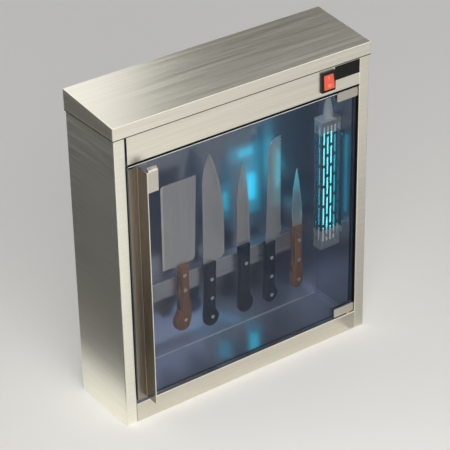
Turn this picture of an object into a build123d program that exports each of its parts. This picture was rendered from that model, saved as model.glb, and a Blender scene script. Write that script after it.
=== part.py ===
# Knife sterilizer cabinet: a shallow stainless wall cabinet with a smoked glass door.
# Millimetres. X runs along the front, Y from the front to the back, Z up.
# The origin is the middle of the cabinet's underside.
from build123d import *

import os
from dataclasses import dataclass
from math import radians, tan

os.makedirs("parts", exist_ok=True)

# Cabinet, measured over the lid
width = 550.0
depth = 150.0
front_height = 600.0
roof_rise = 16.0
lid_skirt = 25.0
lid_gap = 0.3
corner_slit = 0.6

# Sheet metal
sheet = 1.2
bend = 2.0
fold = 12.0
joint_gap = 0.2
seat = 0.02
front_flange = 22.5

# Front opening
rail_height = 38.5
top_band = 80.5
fascia_top_gap = 10.0
fascia_left_gap = 3.7

# Glass door
glass = 5.0
glass_setback = 3.5
door_gap_left = 4.0
door_gap_right = 3.5
door_gap_top = 3.5
door_gap_bottom = 5.5
glass_corner = 1.5
glass_bevel = 0.4

# Hinge clips and pivots
clip_length = 46.5
clip_reach = 16.5
clip_plate = 2.0
clip_web = 1.8
clip_corner = 2.5
pad = 0.5
clip_side_gap = 2.5
pivot_inset = 11.0
pin_radius = 2.5
pin_reach = 7.0
running_gap = 0.05
bush_wall = 1.5
bush_length = 5.0
bush_collar_wall = 3.0
bush_rest_gap = 0.3
clip_screw_radius = 1.5
clip_screw_head = 3.0
clip_screw_head_height = 1.8
clip_screw_pitch = 20.0

# Pull handle
handle_sheet = 1.5
handle_root = 20.5
handle_reach = 30.0
handle_bend = 2.5
handle_margin = 0.5
handle_top_margin = 3.5
handle_lip = 21.0
handle_lip_height = 38.5
handle_hood_rise = 7.0
handle_hood_back = 5.0
tape = 0.8
tape_margin = 2.0

# Magnetic catch and its strike plate
catch_length = 34.0
catch_depth = 15.0
catch_wall = 2.0
catch_inset = 13.0
magnet_proud = 2.0
catch_magnet_margin = 0.5
strike_length = 28.0
strike_height = 9.0
strike_plate_thick = 1.5
strike_top_margin = 1.0
seat_gap = 0.3

# Door interlock switch
interlock_length = 20.0
interlock_height = 13.0
interlock_depth = 15.0
interlock_from_pivot = 54.0
plunger_radius = 1.5
plunger_length = 13.2
plunger_drop = 8.7
plunger_bore_depth = 13.0

# Rocker switch
switch_inset = 73.5
switch_rise = 31.0
frame_width = 31.0
frame_height = 39.0
frame_proud = 4.5
frame_corner = 1.5
rocker_width = 21.6
rocker_height = 27.0
rocker_side_gap = 0.4
rocker_proud = 1.2
rocker_tilt = 11.0
rocker_pivot_inset = 2.0
rocker_body_reach = 6.0
rocker_pin_radius = 1.2
rocker_pin_reach = 1.4
body_width = 24.5
body_height = 31.0
body_depth = 22.0
body_wall = 0.7
body_cavity_depth = 7.5
terminal_width = 6.3
terminal_thick = 0.8
terminal_length = 9.0
terminal_pitch = 18.0

# Name plate
plate_height = 26.5
plate_gap = 1.5
plate_top_gap = 2.0
plate_thick = 0.8

# Lamp and its slotted guard
cage_width = 45.9
cage_depth = 22.0
cage_drop = 99.7
cage_height = 272.0
cage_front = 0.0
cage_wall_gap = 0.4
cage_sheet = 0.8
cage_tab = 7.5
cage_tab_height = 12.0
cage_tab_inset = 34.0
slot_width = 4.0
slot_rows = 6
slot_bridge = 5.0
slot_pitch = 8.5
front_slot_columns = 5
side_slot_columns = 2
slot_margin = 10.0
cap_width = 33.0
cap_overhang = 2.0
cap_thick = 2.4
socket_width = 30.0
socket_depth = 15.0
socket_height = 13.0
base_width = 32.0
base_depth = 16.0
base_height = 12.0
tube_radius = 6.0
tube_pitch = 16.0
tube_end_round = 4.8
tube_bridge_radius = 2.4
tube_bridge_rise = 16.0
support_width = 32.0
support_depth = 15.0
support_height = 26.0
support_rise = 13.4
support_cup = 5.0
sleeve_base_radius = 9.0
sleeve_shoulder_radius = 7.3
sleeve_shoulder_height = 24.0
sleeve_neck_radius = 3.6
sleeve_neck_height = 50.0
sleeve_bore = 2.5
sleeve_top_reach = 5.0

# Electrical space
ballast_length = 110.0
ballast_width = 38.0
ballast_height = 26.0
ballast_foot = 12.0
ballast_x = -20.0
ballast_y = 30.0
block_length = 34.0
block_width = 18.0
block_height = 15.0
block_x = 118.0
block_y = 48.0
block_ways = 4
block_pitch = 8.0
block_screw_radius = 1.8
block_screw_depth = 3.0
wire_radius = 1.1
wire_entry = 6.1
bend_share = 0.45
gland_y = 42.0
gland_rise = 30.1
gland_bore = 4.0
gland_radius = 8.0
gland_flange_radius = 11.0
gland_flange = 2.5
gland_dome_radius = 8.5
gland_dome = 8.0
gland_reach = 9.0
gland_nut_size = 22.0
gland_nut_length = 5.0

# Wall fixing holes in the back panel
wall_hole_radius = 4.0
wall_hole_spacing = 400.0
wall_hole_drop = 120.0

# Screws and rivets
screw_radius = 1.9
screw_head_radius = 3.5
screw_head_height = 1.6
screw_recess = 0.7
rivet_radius = 1.6
rivet_head_radius = 3.0
rivet_head_height = 1.0
back_rivet_rows = 4
back_rivet_pitch = 160.0
back_rivet_first = 60.0
floor_rivet_pitch = 200.0
lid_screw_pitch = 180.0
lid_screw_rise = 13.0
shelf_screw_pitch = 150.0
shelf_screw_middle = -30.0

# Magnetic bar
bar_length = 330.0
bar_height = 38.4
bar_bottom = 139.4
bar_left = -128.0
bar_depth = 19.0
bar_sheet = 1.0
magnet_count = 9
magnet_pitch = 32.0
magnet_width = 18.0
magnet_height = 28.0
magnet_thick = 5.0
bar_screw_inset = 15.0
bar_screw_radius = 2.1
bar_screw_head_radius = 4.0
bar_screw_head_depth = 3.0

# Knives
blade_thick = 2.2
edge_thick = 0.3
grip_thick = 17.4
knife_gap = 0.3
grip_round = 3.0
tang_width = 12.0
knife_rivet_radius = 3.0
serration_pitch = 6.0
serration_depth = 1.2

# Derived places of the cabinet
half_body_width = width / 2 - sheet - lid_gap
half_body_depth = depth / 2 - sheet - lid_gap
front_y = -half_body_depth
back_y = half_body_depth
half_opening = half_body_width - front_flange
inner_half_width = half_body_width - sheet
wall_y = back_y - 2 * sheet
jamb_back_y = front_y + fold
skirt_bottom = front_height - lid_skirt
back_height = front_height + roof_rise
roof_slope = roof_rise / depth
fascia_bottom = front_height - top_band
fascia_height = top_band - fascia_top_gap
ceiling_z = fascia_bottom + sheet
shelf_top = ceiling_z + sheet
pan_half_width = half_opening - joint_gap
wing_half_width = inner_half_width - joint_gap
wing_front_y = jamb_back_y + joint_gap
wing_back_y = wall_y - joint_gap
return_y = front_y + fold / 2
gland_z = shelf_top + gland_rise
wall_hole_height = front_height - wall_hole_drop
fascia_left = -half_opening + fascia_left_gap
fascia_right = half_opening - joint_gap
fascia_width = fascia_right - fascia_left
fascia_x = (fascia_left + fascia_right) / 2
fascia_z = fascia_bottom + fascia_height / 2

# Derived places of the door
glass_front_y = front_y + glass_setback
glass_back_y = glass_front_y + glass
glass_y = glass_front_y + glass / 2
glass_left = -half_opening + door_gap_left
glass_right = half_opening - door_gap_right
glass_bottom = rail_height + door_gap_bottom
glass_top = fascia_bottom - door_gap_top
pivot_x = half_opening - pivot_inset
bush_radius = pin_radius + running_gap + bush_wall
clip_x = half_opening - clip_side_gap - clip_length / 2
clip_depth = glass + 2 * (pad + clip_plate)
clip_height = clip_reach + clip_web
clip_top_z = glass_top + pad + clip_web
clip_foot_z = glass_bottom - pad - clip_web
handle_left = glass_left + handle_margin
handle_right = handle_left + handle_root
tape_front_y = glass_front_y - tape
handle_front_y = tape_front_y - handle_reach
handle_bottom = glass_bottom + handle_margin
handle_top = glass_top - handle_top_margin
strike_z = glass_top - strike_top_margin - strike_height / 2
catch_x = glass_left + catch_inset + catch_length / 2
strike_back_y = glass_back_y + strike_plate_thick
catch_front_y = strike_back_y + seat_gap + magnet_proud
catch_magnet_height = strike_height - 2 * catch_magnet_margin
catch_bottom = strike_z - catch_magnet_height / 2 - catch_wall
interlock_x = pivot_x - interlock_from_pivot
plunger_z = ceiling_z - plunger_drop
interlock_wire_y = catch_front_y + interlock_depth - 2 * wire_radius

# Derived places of the switch, the lamp, the bar and the knives
switch_x = half_opening - switch_inset
switch_z = fascia_bottom + switch_rise
bezel_y = front_y - frame_proud
rocker_pivot_y = bezel_y + rocker_pivot_inset
rocker_face = rocker_pivot_inset + rocker_proud
rocker_sweep = (rocker_face**2 + (rocker_height / 2) ** 2) ** 0.5
cage_top = ceiling_z - cage_drop
cage_bottom = cage_top - cage_height
cage_right = inner_half_width - cage_wall_gap
cage_left = cage_right - cage_width
cage_x = (cage_left + cage_right) / 2
cage_y = cage_front + cage_depth / 2
lamp_x = cage_x
lamp_y = cage_y
socket_top = cage_top - cage_sheet
base_top = socket_top - socket_height
tube_top = base_top - base_height
support_top = cage_bottom + cage_sheet + support_rise + support_height
tube_bottom = support_top - support_cup
tube_length = tube_top - tube_bottom
cap_top = cage_top + cap_thick
bar_x = bar_left + bar_length / 2
bar_z = bar_bottom + bar_height / 2
bar_front_y = wall_y - bar_depth
knife_y = bar_front_y - knife_gap - grip_thick / 2

# Places of the fasteners
flange_rivet_x = half_body_width - fold / 2
back_rivet_z = back_rivet_first + back_rivet_pitch * (back_rivet_rows - 1) / 2
lid_screw_z = skirt_bottom + lid_screw_rise
ballast_screw_pitch = ballast_length + ballast_foot
shelf_screw_places = [
    (shelf_screw_middle + step * shelf_screw_pitch, return_y) for step in (-1, 0, 1)
]
cage_rivet_places = [
    (y, z)
    for y in (cage_front - cage_tab / 2, cage_front + cage_depth + cage_tab / 2)
    for z in (cage_bottom + cage_tab_inset, cage_top - cage_tab_inset)
]


def roof_top(y):
    """Height of the lid's upper face at a depth."""
    return front_height + roof_slope * (y + depth / 2)


def roof_underside(y):
    """Height of the space under the lid sheet at a depth."""
    return roof_top(y) - sheet - lid_gap


def save(piece, name):
    """Label a finished piece and write it."""
    piece.part.label = name
    export_step(piece.part, f"parts/{name}.step")


def fastener(head_radius, head_height, shank_radius, shank_length, recess=0.0):
    """A headed fastener along Z: the head above zero, the shank below, with a cross recess if asked."""
    with BuildPart() as piece:
        Cylinder(
            head_radius, head_height, align=(Align.CENTER, Align.CENTER, Align.MIN)
        )
        fillet(piece.edges().sort_by(Axis.Z)[-1], head_height / 2)
        Cylinder(
            shank_radius, shank_length, align=(Align.CENTER, Align.CENTER, Align.MAX)
        )
        if recess:
            with Locations((0, 0, head_height)):
                Box(head_radius, recess, 2 * recess, mode=Mode.SUBTRACT)
                Box(recess, head_radius, 2 * recess, mode=Mode.SUBTRACT)
    return piece.part


# Side panels: wall, front flange, jamb behind the opening's edge, and back flange
roof_cut = Plane(
    origin=(0, 0, roof_underside(0)),
    x_dir=(1, 0, 0),
    z_dir=Vector(0, -roof_slope, 1).normalized(),
)

for name, on_right in (("left_side_panel", False), ("right_side_panel", True)):
    with BuildPart() as side_panel:
        with BuildSketch(Plane.XY):
            with BuildLine():
                FilletPolyline(
                    (-half_opening, jamb_back_y),
                    (-half_opening, front_y),
                    (-half_body_width, front_y),
                    (-half_body_width, back_y),
                    (-half_body_width + fold, back_y),
                    radius=bend,
                )
                offset(amount=sheet, side=Side.RIGHT)
            make_face()
        extrude(amount=back_height)
        split(bisect_by=roof_cut, keep=Keep.BOTTOM)
        with BuildSketch(Plane.XZ.offset(-back_y - sheet)):
            with Locations((-flange_rivet_x, back_rivet_z)):
                with GridLocations(0, back_rivet_pitch, 1, back_rivet_rows):
                    Circle(rivet_radius + seat)
        extrude(amount=3 * sheet, mode=Mode.SUBTRACT)
        if on_right:
            mirror(about=Plane.YZ, mode=Mode.REPLACE)
            with BuildSketch(Plane.YZ.offset(inner_half_width - sheet)):
                with Locations((gland_y, gland_z)):
                    Circle(gland_radius + seat)
                with Locations(*cage_rivet_places):
                    Circle(rivet_radius + seat)
            extrude(amount=3 * sheet, mode=Mode.SUBTRACT)
    save(side_panel, name)

# Back panel: one flat sheet inside the back flanges, with two wall holes
back_panel_half_width = half_body_width - bend
back_panel_bottom = bend + joint_gap
back_panel_top = roof_underside(back_y) - joint_gap

with BuildPart() as back_panel:
    with BuildSketch(Plane.XZ.offset(-wall_y)):
        with Locations((0, (back_panel_bottom + back_panel_top) / 2)):
            Rectangle(2 * back_panel_half_width, back_panel_top - back_panel_bottom)
        with Locations((0, wall_hole_height)):
            with GridLocations(wall_hole_spacing, 0, 2, 1):
                Circle(wall_hole_radius, mode=Mode.SUBTRACT)
        with Locations((0, back_rivet_z)):
            with GridLocations(2 * flange_rivet_x, back_rivet_pitch, 2, back_rivet_rows):
                Circle(rivet_radius + seat, mode=Mode.SUBTRACT)
        with Locations((0, fold / 2)):
            with GridLocations(floor_rivet_pitch, 0, 3, 1):
                Circle(rivet_radius + seat, mode=Mode.SUBTRACT)
        with Locations((0, lid_screw_z)):
            with GridLocations(lid_screw_pitch, 0, 3, 1):
                Circle(screw_radius + seat, mode=Mode.SUBTRACT)
        with Locations((bar_x, bar_z)):
            with GridLocations(bar_length - 2 * bar_screw_inset, 0, 2, 1):
                Circle(bar_screw_radius + seat, mode=Mode.SUBTRACT)
    extrude(amount=-sheet)
save(back_panel, "back_panel")

# Floor pan: the rail under the door, the floor sheet with its side upturns and its rear upturn
with BuildPart() as floor_pan:
    with BuildSketch(Plane.YZ.offset(-pan_half_width)):
        with BuildLine():
            FilletPolyline(
                (jamb_back_y, rail_height),
                (front_y, rail_height),
                (front_y, 0),
                (back_y, 0),
                (back_y, fold),
                radius=bend,
            )
            offset(amount=sheet, side=Side.LEFT)
        make_face()
    extrude(amount=2 * pan_half_width)
    with BuildSketch(Plane.XZ.offset(-wing_back_y)):
        with BuildLine():
            FilletPolyline(
                (-wing_half_width, fold),
                (-wing_half_width, 0),
                (wing_half_width, 0),
                (wing_half_width, fold),
                radius=bend,
            )
            offset(amount=sheet, side=Side.LEFT)
        make_face()
    extrude(amount=wing_back_y - wing_front_y)
    with Locations((pivot_x, glass_y, rail_height)):
        Cylinder(bush_radius + seat, 3 * sheet, mode=Mode.SUBTRACT)
    with BuildSketch(Plane.XZ.offset(-back_y - sheet)):
        with Locations((0, fold / 2)):
            with GridLocations(floor_rivet_pitch, 0, 3, 1):
                Circle(rivet_radius + seat)
    extrude(amount=3 * sheet, mode=Mode.SUBTRACT)
save(floor_pan, "floor_pan")

# Fascia: a pan facing back, with the switch opening and the upper pivot's hole in its bottom return
with BuildPart() as fascia:
    with BuildSketch(Plane.XZ.offset(-front_y)):
        with Locations((fascia_x, fascia_z)):
            Rectangle(fascia_width, fascia_height)
    extrude(amount=-fold)
    fillet(fascia.faces().sort_by(Axis.Y)[0].edges(), bend / 2)
    with BuildSketch(Plane.XZ.offset(-front_y - sheet)):
        with Locations((fascia_x, fascia_z)):
            Rectangle(fascia_width - 2 * sheet, fascia_height - 2 * sheet)
    extrude(amount=-fold, mode=Mode.SUBTRACT)
    with BuildSketch(Plane.XZ.offset(-front_y + sheet)):
        with Locations((switch_x, switch_z)):
            Rectangle(body_width + 2 * joint_gap, body_height + 2 * joint_gap)
    extrude(amount=-3 * sheet, mode=Mode.SUBTRACT)
    with BuildSketch(Plane.XY.offset(fascia_bottom - sheet)):
        with Locations((pivot_x, glass_y)):
            Circle(bush_radius + seat)
        with Locations(*shelf_screw_places):
            Circle(screw_radius + seat)
    extrude(amount=3 * sheet, mode=Mode.SUBTRACT)
save(fascia, "fascia")

# Compartment shelf: the ceiling over the knives, its tongue resting on the fascia's bottom return
tongue_half_width = fascia_width / 2 - sheet - joint_gap

with BuildPart() as compartment_shelf:
    with BuildSketch(Plane.XZ.offset(-wing_back_y)):
        with BuildLine():
            FilletPolyline(
                (-wing_half_width, ceiling_z + fold),
                (-wing_half_width, ceiling_z),
                (wing_half_width, ceiling_z),
                (wing_half_width, ceiling_z + fold),
                radius=bend,
            )
            offset(amount=sheet, side=Side.LEFT)
        make_face()
    extrude(amount=wing_back_y - wing_front_y)
    with BuildSketch(Plane.XY.offset(ceiling_z)):
        with Locations((fascia_x, front_y + sheet + joint_gap)):
            Rectangle(
                2 * tongue_half_width, fold, align=(Align.CENTER, Align.MIN)
            )
    extrude(amount=sheet)
    with BuildSketch(Plane.XY.offset(ceiling_z - sheet)):
        with Locations((pivot_x, glass_y)):
            Circle(bush_radius + seat)
        with Locations((lamp_x, lamp_y)):
            Circle(sleeve_neck_radius + seat)
        with Locations((interlock_x, interlock_wire_y)):
            Circle(2 * wire_radius)
        with Locations(*shelf_screw_places):
            Circle(screw_radius + seat)
        with Locations((ballast_x, ballast_y)):
            with GridLocations(ballast_screw_pitch, 0, 2, 1):
                Circle(screw_radius + seat)
    extrude(amount=3 * sheet, mode=Mode.SUBTRACT)
save(compartment_shelf, "compartment_shelf")

# Lid: top sheet rising to the back, folded down all round, its side skirts slit at the corners
with BuildPart() as top_lid:
    with BuildSketch(Plane.YZ.offset(-width / 2)):
        with BuildLine():
            Polyline(
                (-depth / 2, skirt_bottom),
                (-depth / 2, front_height),
                (depth / 2, back_height),
                (depth / 2, skirt_bottom),
                close=True,
            )
        make_face()
    extrude(amount=width)
    fillet(top_lid.faces().sort_by(Axis.Z)[-1].edges(), bend / 2)
    inner_half_depth = depth / 2 - sheet
    with BuildSketch(Plane.YZ.offset(-width / 2 + sheet)):
        with BuildLine():
            Polyline(
                (-inner_half_depth, skirt_bottom - sheet),
                (-inner_half_depth, roof_top(-inner_half_depth) - sheet),
                (inner_half_depth, roof_top(inner_half_depth) - sheet),
                (inner_half_depth, skirt_bottom - sheet),
                close=True,
            )
        make_face()
    extrude(amount=width - 2 * sheet, mode=Mode.SUBTRACT)
    with BuildSketch(Plane.XY.offset(skirt_bottom - sheet)):
        with GridLocations(width, 2 * inner_half_depth - corner_slit, 2, 2):
            Rectangle(3 * sheet, corner_slit)
    extrude(amount=lid_skirt - bend, mode=Mode.SUBTRACT)
    with BuildSketch(Plane.XZ.offset(-depth / 2 - sheet)):
        with Locations((0, lid_screw_z)):
            with GridLocations(lid_screw_pitch, 0, 3, 1):
                Circle(screw_radius + seat)
    extrude(amount=3 * sheet, mode=Mode.SUBTRACT)
save(top_lid, "top_lid")

# Door glass: one smoked pane with ground edges
with BuildPart() as door_glass:
    with BuildSketch(Plane.XZ.offset(-glass_back_y)):
        with Locations(((glass_left + glass_right) / 2, (glass_bottom + glass_top) / 2)):
            RectangleRounded(
                glass_right - glass_left, glass_top - glass_bottom, glass_corner
            )
    extrude(amount=glass)
    chamfer(
        door_glass.faces().sort_by(Axis.Y)[0].edges()
        + door_glass.faces().sort_by(Axis.Y)[-1].edges(),
        glass_bevel,
    )
save(door_glass, "door_glass")

# Hinge clips: a channel over the pane's corner, its front plate plain, clamped by screws from inside
clip_rear_y = glass_y + clip_depth / 2

for name, up, edge_z in (
    ("top_hinge_clip", 1, clip_top_z),
    ("bottom_hinge_clip", -1, clip_foot_z),
):
    with BuildPart() as hinge_clip:
        with BuildSketch(Plane.XZ.offset(-clip_rear_y)):
            with Locations((clip_x, edge_z - up * clip_height / 2)):
                RectangleRounded(clip_length, clip_height, clip_corner)
        extrude(amount=clip_depth)
        with Locations((clip_x, glass_y, edge_z - up * (clip_web + clip_height / 2))):
            Box(
                clip_length + clip_web,
                glass + 2 * pad,
                clip_height,
                mode=Mode.SUBTRACT,
            )
        with BuildSketch(Plane.XZ.offset(-clip_rear_y - clip_plate)):
            with Locations((clip_x, edge_z - up * (clip_web + clip_reach / 2))):
                with GridLocations(clip_screw_pitch, 0, 2, 1):
                    Circle(clip_screw_radius + seat)
        extrude(amount=clip_depth / 2, mode=Mode.SUBTRACT)
        with Locations((pivot_x, glass_y, edge_z)):
            Cylinder(pin_radius + seat, 3 * clip_web, mode=Mode.SUBTRACT)
    save(hinge_clip, name)

# Soft linings between the clips and the glass
with BuildPart() as clip_pads:
    for up, edge_z in ((1, glass_top + pad), (-1, glass_bottom - pad)):
        with Locations((clip_x, glass_y, edge_z - up * clip_reach / 2)):
            Box(clip_length - 2 * clip_corner, glass + 2 * pad, clip_reach)
    with Locations((clip_x, glass_y, (glass_bottom + glass_top) / 2)):
        Box(clip_length, glass, glass_top - glass_bottom, mode=Mode.SUBTRACT)
save(clip_pads, "clip_pads")

# Clamp screws of the clips, from inside the cabinet, down to the linings
clamp_screw = fastener(
    clip_screw_head,
    clip_screw_head_height,
    clip_screw_radius,
    clip_plate,
    screw_recess,
)

with BuildPart() as clip_screws:
    for up, edge_z in ((1, clip_top_z), (-1, clip_foot_z)):
        screw_z = edge_z - up * (clip_web + clip_reach / 2)
        for step in (-0.5, 0.5):
            head_seat = Plane(
                origin=(clip_x + step * clip_screw_pitch, clip_rear_y, screw_z),
                z_dir=(0, 1, 0),
            )
            with Locations(head_seat):
                add(clamp_screw)
save(clip_screws, "clip_screws")

# Hinge pins: pressed into the clips' webs, turning in the bushes
pin_length = clip_web + pin_reach

with BuildPart() as hinge_pins:
    with Locations((pivot_x, glass_y, clip_top_z - clip_web)):
        Cylinder(
            pin_radius, pin_length, align=(Align.CENTER, Align.CENTER, Align.MIN)
        )
    with Locations((pivot_x, glass_y, clip_foot_z + clip_web)):
        Cylinder(
            pin_radius, pin_length, align=(Align.CENTER, Align.CENTER, Align.MAX)
        )
    tips = hinge_pins.faces().filter_by(GeomType.PLANE).sort_by(Axis.Z)
    chamfer(tips[0].edges() + tips[-1].edges(), pin_radius / 5)
save(hinge_pins, "hinge_pins")

# Bushes: a collar that the clip rests on and a barrel through the rail or the fascia's return
with BuildPart() as hinge_bushes:
    for up, sheet_face, clip_face in (
        (-1, rail_height, clip_foot_z - bush_rest_gap),
        (1, fascia_bottom, clip_top_z + bush_rest_gap),
    ):
        with Locations((pivot_x, glass_y, (sheet_face + clip_face) / 2)):
            Cylinder(pin_radius + bush_collar_wall, abs(sheet_face - clip_face))
        with Locations((pivot_x, glass_y, sheet_face + up * bush_length / 2)):
            Cylinder(bush_radius, bush_length)
    with Locations((pivot_x, glass_y, 0)):
        Cylinder(
            pin_radius + running_gap,
            front_height,
            align=(Align.CENTER, Align.CENTER, Align.MIN),
            mode=Mode.SUBTRACT,
        )
save(hinge_bushes, "hinge_bushes")

# Pull handle: a root plate taped to the glass, a flange standing forward, and a lip at its top
handle_root_length = handle_top - handle_bottom
lip_bottom = handle_top - handle_lip_height
lip_back_y = handle_front_y + handle_sheet

with BuildPart() as door_handle:
    with BuildSketch(Plane.XY.offset(handle_bottom)):
        with BuildLine():
            FilletPolyline(
                (handle_left, tape_front_y),
                (handle_right, tape_front_y),
                (handle_right, handle_front_y),
                radius=handle_bend,
            )
            offset(amount=handle_sheet, side=Side.RIGHT)
        make_face()
    extrude(amount=handle_root_length)
    with BuildSketch(Plane.XY.offset(lip_bottom)):
        with BuildLine():
            FilletPolyline(
                (handle_right, glass_front_y - handle_reach / 2),
                (handle_right, lip_back_y),
                (handle_right + handle_lip, lip_back_y),
                radius=handle_bend - handle_sheet,
            )
            offset(amount=handle_sheet, side=Side.RIGHT)
        make_face()
    extrude(amount=handle_lip_height)
    with BuildSketch(Plane.YZ.offset(handle_right + handle_bend)):
        with BuildLine():
            Polyline(
                (handle_front_y, handle_top),
                (handle_front_y + handle_hood_back, handle_top + handle_hood_rise),
                (lip_back_y + handle_hood_back, handle_top + handle_hood_rise),
                (lip_back_y, handle_top),
                close=True,
            )
        make_face()
    extrude(amount=handle_lip - handle_bend)
save(door_handle, "door_handle")

# Tape between the handle and the glass
with BuildPart() as handle_tape:
    with BuildSketch(Plane.XZ.offset(-glass_front_y)):
        with Locations((handle_left + handle_root / 2, (handle_bottom + handle_top) / 2)):
            RectangleRounded(
                handle_root - 2 * handle_bend,
                handle_root_length - 2 * tape_margin,
                glass_corner,
            )
    extrude(amount=tape)
save(handle_tape, "handle_tape")

# Strike plate on the back of the glass
with BuildPart() as strike_plate:
    with BuildSketch(Plane.XZ.offset(-strike_back_y)):
        with Locations((catch_x, strike_z)):
            RectangleRounded(strike_length, strike_height, glass_corner)
    extrude(amount=strike_plate_thick)
save(strike_plate, "strike_plate")

# Magnetic catch: a housing under the compartment shelf with its magnet standing proud
catch_magnet_length = catch_length - 2 * catch_wall
magnet_front_y = catch_front_y - magnet_proud

with BuildPart() as catch_housing:
    with BuildSketch(Plane.XY.offset(catch_bottom)):
        with Locations((catch_x, catch_front_y + catch_depth / 2)):
            RectangleRounded(catch_length, catch_depth, catch_wall / 2)
    extrude(amount=ceiling_z - catch_bottom)
    with Locations((catch_x, catch_front_y, strike_z)):
        Box(
            catch_magnet_length + 2 * seat,
            2 * (catch_depth - catch_wall),
            catch_magnet_height + 2 * seat,
            mode=Mode.SUBTRACT,
        )
save(catch_housing, "catch_housing")

with BuildPart() as catch_magnet:
    with Locations((catch_x, magnet_front_y, strike_z)):
        Box(
            catch_magnet_length,
            catch_depth - catch_wall + magnet_proud,
            catch_magnet_height,
            align=(Align.CENTER, Align.MIN, Align.CENTER),
        )
    chamfer(catch_magnet.faces().sort_by(Axis.Y)[0].edges(), magnet_proud / 4)
save(catch_magnet, "catch_magnet")

# Door switch for the lamp: a body under the shelf with a spring plunger against the glass
plunger_tip_y = glass_back_y + seat_gap

with BuildPart() as interlock_body:
    with BuildSketch(Plane.XY.offset(ceiling_z - interlock_height)):
        with Locations((interlock_x, catch_front_y + interlock_depth / 2)):
            RectangleRounded(interlock_length, interlock_depth, catch_wall / 2)
    extrude(amount=interlock_height)
    with BuildSketch(Plane.XZ.offset(-catch_front_y)):
        with Locations((interlock_x, plunger_z)):
            Circle(plunger_radius + running_gap)
    extrude(amount=-plunger_bore_depth, mode=Mode.SUBTRACT)
save(interlock_body, "interlock_body")

with BuildPart() as interlock_plunger:
    with BuildSketch(Plane.XZ.offset(-plunger_tip_y - plunger_length)):
        with Locations((interlock_x, plunger_z)):
            Circle(plunger_radius)
    extrude(amount=plunger_length)
    fillet(
        interlock_plunger.faces().sort_by(Axis.Y)[0].edges(), plunger_radius / 2
    )
save(interlock_plunger, "interlock_plunger")

# Rocker switch: the raised frame in front of the fascia, with the rocker's pivot holes
opening_half_width = rocker_width / 2 + rocker_side_gap
opening_height = 2 * (rocker_sweep + rocker_side_gap)
pivot_hole_reach = opening_half_width + rocker_pin_reach

with BuildPart() as switch_frame:
    with BuildSketch(Plane.XZ.offset(-front_y)):
        with Locations((switch_x, switch_z)):
            RectangleRounded(frame_width, frame_height, frame_corner)
    extrude(amount=frame_proud)
    fillet(switch_frame.faces().sort_by(Axis.Y)[0].edges(), frame_corner / 2)
    with BuildSketch(Plane.XZ.offset(-front_y)):
        with Locations((switch_x, switch_z)):
            Rectangle(2 * opening_half_width, opening_height)
    extrude(amount=frame_proud, mode=Mode.SUBTRACT)
    with BuildSketch(Plane.YZ.offset(switch_x)):
        with Locations((rocker_pivot_y, switch_z)):
            Circle(rocker_pin_radius + running_gap)
    extrude(amount=pivot_hole_reach, both=True, mode=Mode.SUBTRACT)
save(switch_frame, "switch_frame")

# Switch body behind the fascia, open to the rocker
with BuildPart() as switch_body:
    with BuildSketch(Plane.XZ.offset(-front_y)):
        with Locations((switch_x, switch_z)):
            Rectangle(body_width, body_height)
    extrude(amount=-body_depth)
    with BuildSketch(Plane.XZ.offset(-front_y)):
        with Locations((switch_x, switch_z)):
            Rectangle(body_width - 2 * body_wall, body_height - 2 * body_wall)
    extrude(amount=-body_cavity_depth, mode=Mode.SUBTRACT)
save(switch_body, "switch_body")

# Rocker: a round-ended key on two stub pins, its upper end pressed in
with BuildPart() as switch_rocker:
    with BuildSketch(Plane.YZ.offset(switch_x)):
        with Locations((rocker_pivot_y, switch_z)):
            Circle(rocker_sweep)
            with Locations(
                Location(((rocker_body_reach - rocker_face) / 2, 0, 0))
            ):
                Rectangle(
                    rocker_face + rocker_body_reach,
                    2 * rocker_sweep,
                    mode=Mode.INTERSECT,
                )
    extrude(amount=rocker_width / 2, both=True)
    with BuildSketch(Plane.YZ.offset(switch_x)):
        with Locations((rocker_pivot_y, switch_z)):
            Circle(rocker_pin_radius)
    extrude(amount=rocker_width / 2 + rocker_pin_reach, both=True)
    rocker_axis = Axis((switch_x, rocker_pivot_y, switch_z), (1, 0, 0))
switch_rocker.part = switch_rocker.part.rotate(rocker_axis, -rocker_tilt)
save(switch_rocker, "switch_rocker")

# Switch terminals: two blades out of the back of the switch body
body_back_y = front_y + body_depth

with BuildPart() as switch_terminals:
    with BuildSketch(Plane.XZ.offset(-body_back_y)):
        with Locations((switch_x, switch_z)):
            with GridLocations(0, terminal_pitch, 1, 2):
                Rectangle(terminal_width, terminal_thick)
    extrude(amount=-terminal_length)
save(switch_terminals, "switch_terminals")

# Name plate: a thin bare plate between the switch and the end of the fascia
plate_left = switch_x + frame_width / 2 + plate_gap
plate_right = fascia_right - joint_gap
plate_z = skirt_bottom - plate_top_gap - plate_height / 2

with BuildPart() as name_plate:
    with BuildSketch(Plane.XZ.offset(-front_y)):
        with Locations(((plate_left + plate_right) / 2, plate_z)):
            RectangleRounded(plate_right - plate_left, plate_height, plate_thick)
    extrude(amount=plate_thick)
    chamfer(name_plate.faces().sort_by(Axis.Y)[0].edges(), plate_thick / 4)
save(name_plate, "name_plate")

# Lamp guard: a closed box of thin sheet on the right wall, slotted in staggered columns
cage_z = cage_bottom + cage_height / 2
slotted_height = cage_height - 2 * slot_margin
slot_length = (slotted_height - (slot_rows - 1) * slot_bridge) / slot_rows
slot_period = slot_length + slot_bridge
short_slot = (slot_length - slot_bridge) / 2


def slot_places(columns, middle):
    """Full and short slots of a face: every second column is shifted by half a slot."""
    full = []
    short = []
    for column in range(columns):
        x = middle + (column - (columns - 1) / 2) * slot_pitch
        shifted = column % 2
        rows = slot_rows - shifted
        for row in range(rows):
            full.append((x, cage_z + (row - (rows - 1) / 2) * slot_period))
        if shifted:
            for end in (-1, 1):
                short.append((x, cage_z + end * (slotted_height - short_slot) / 2))
    return full, short


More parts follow.
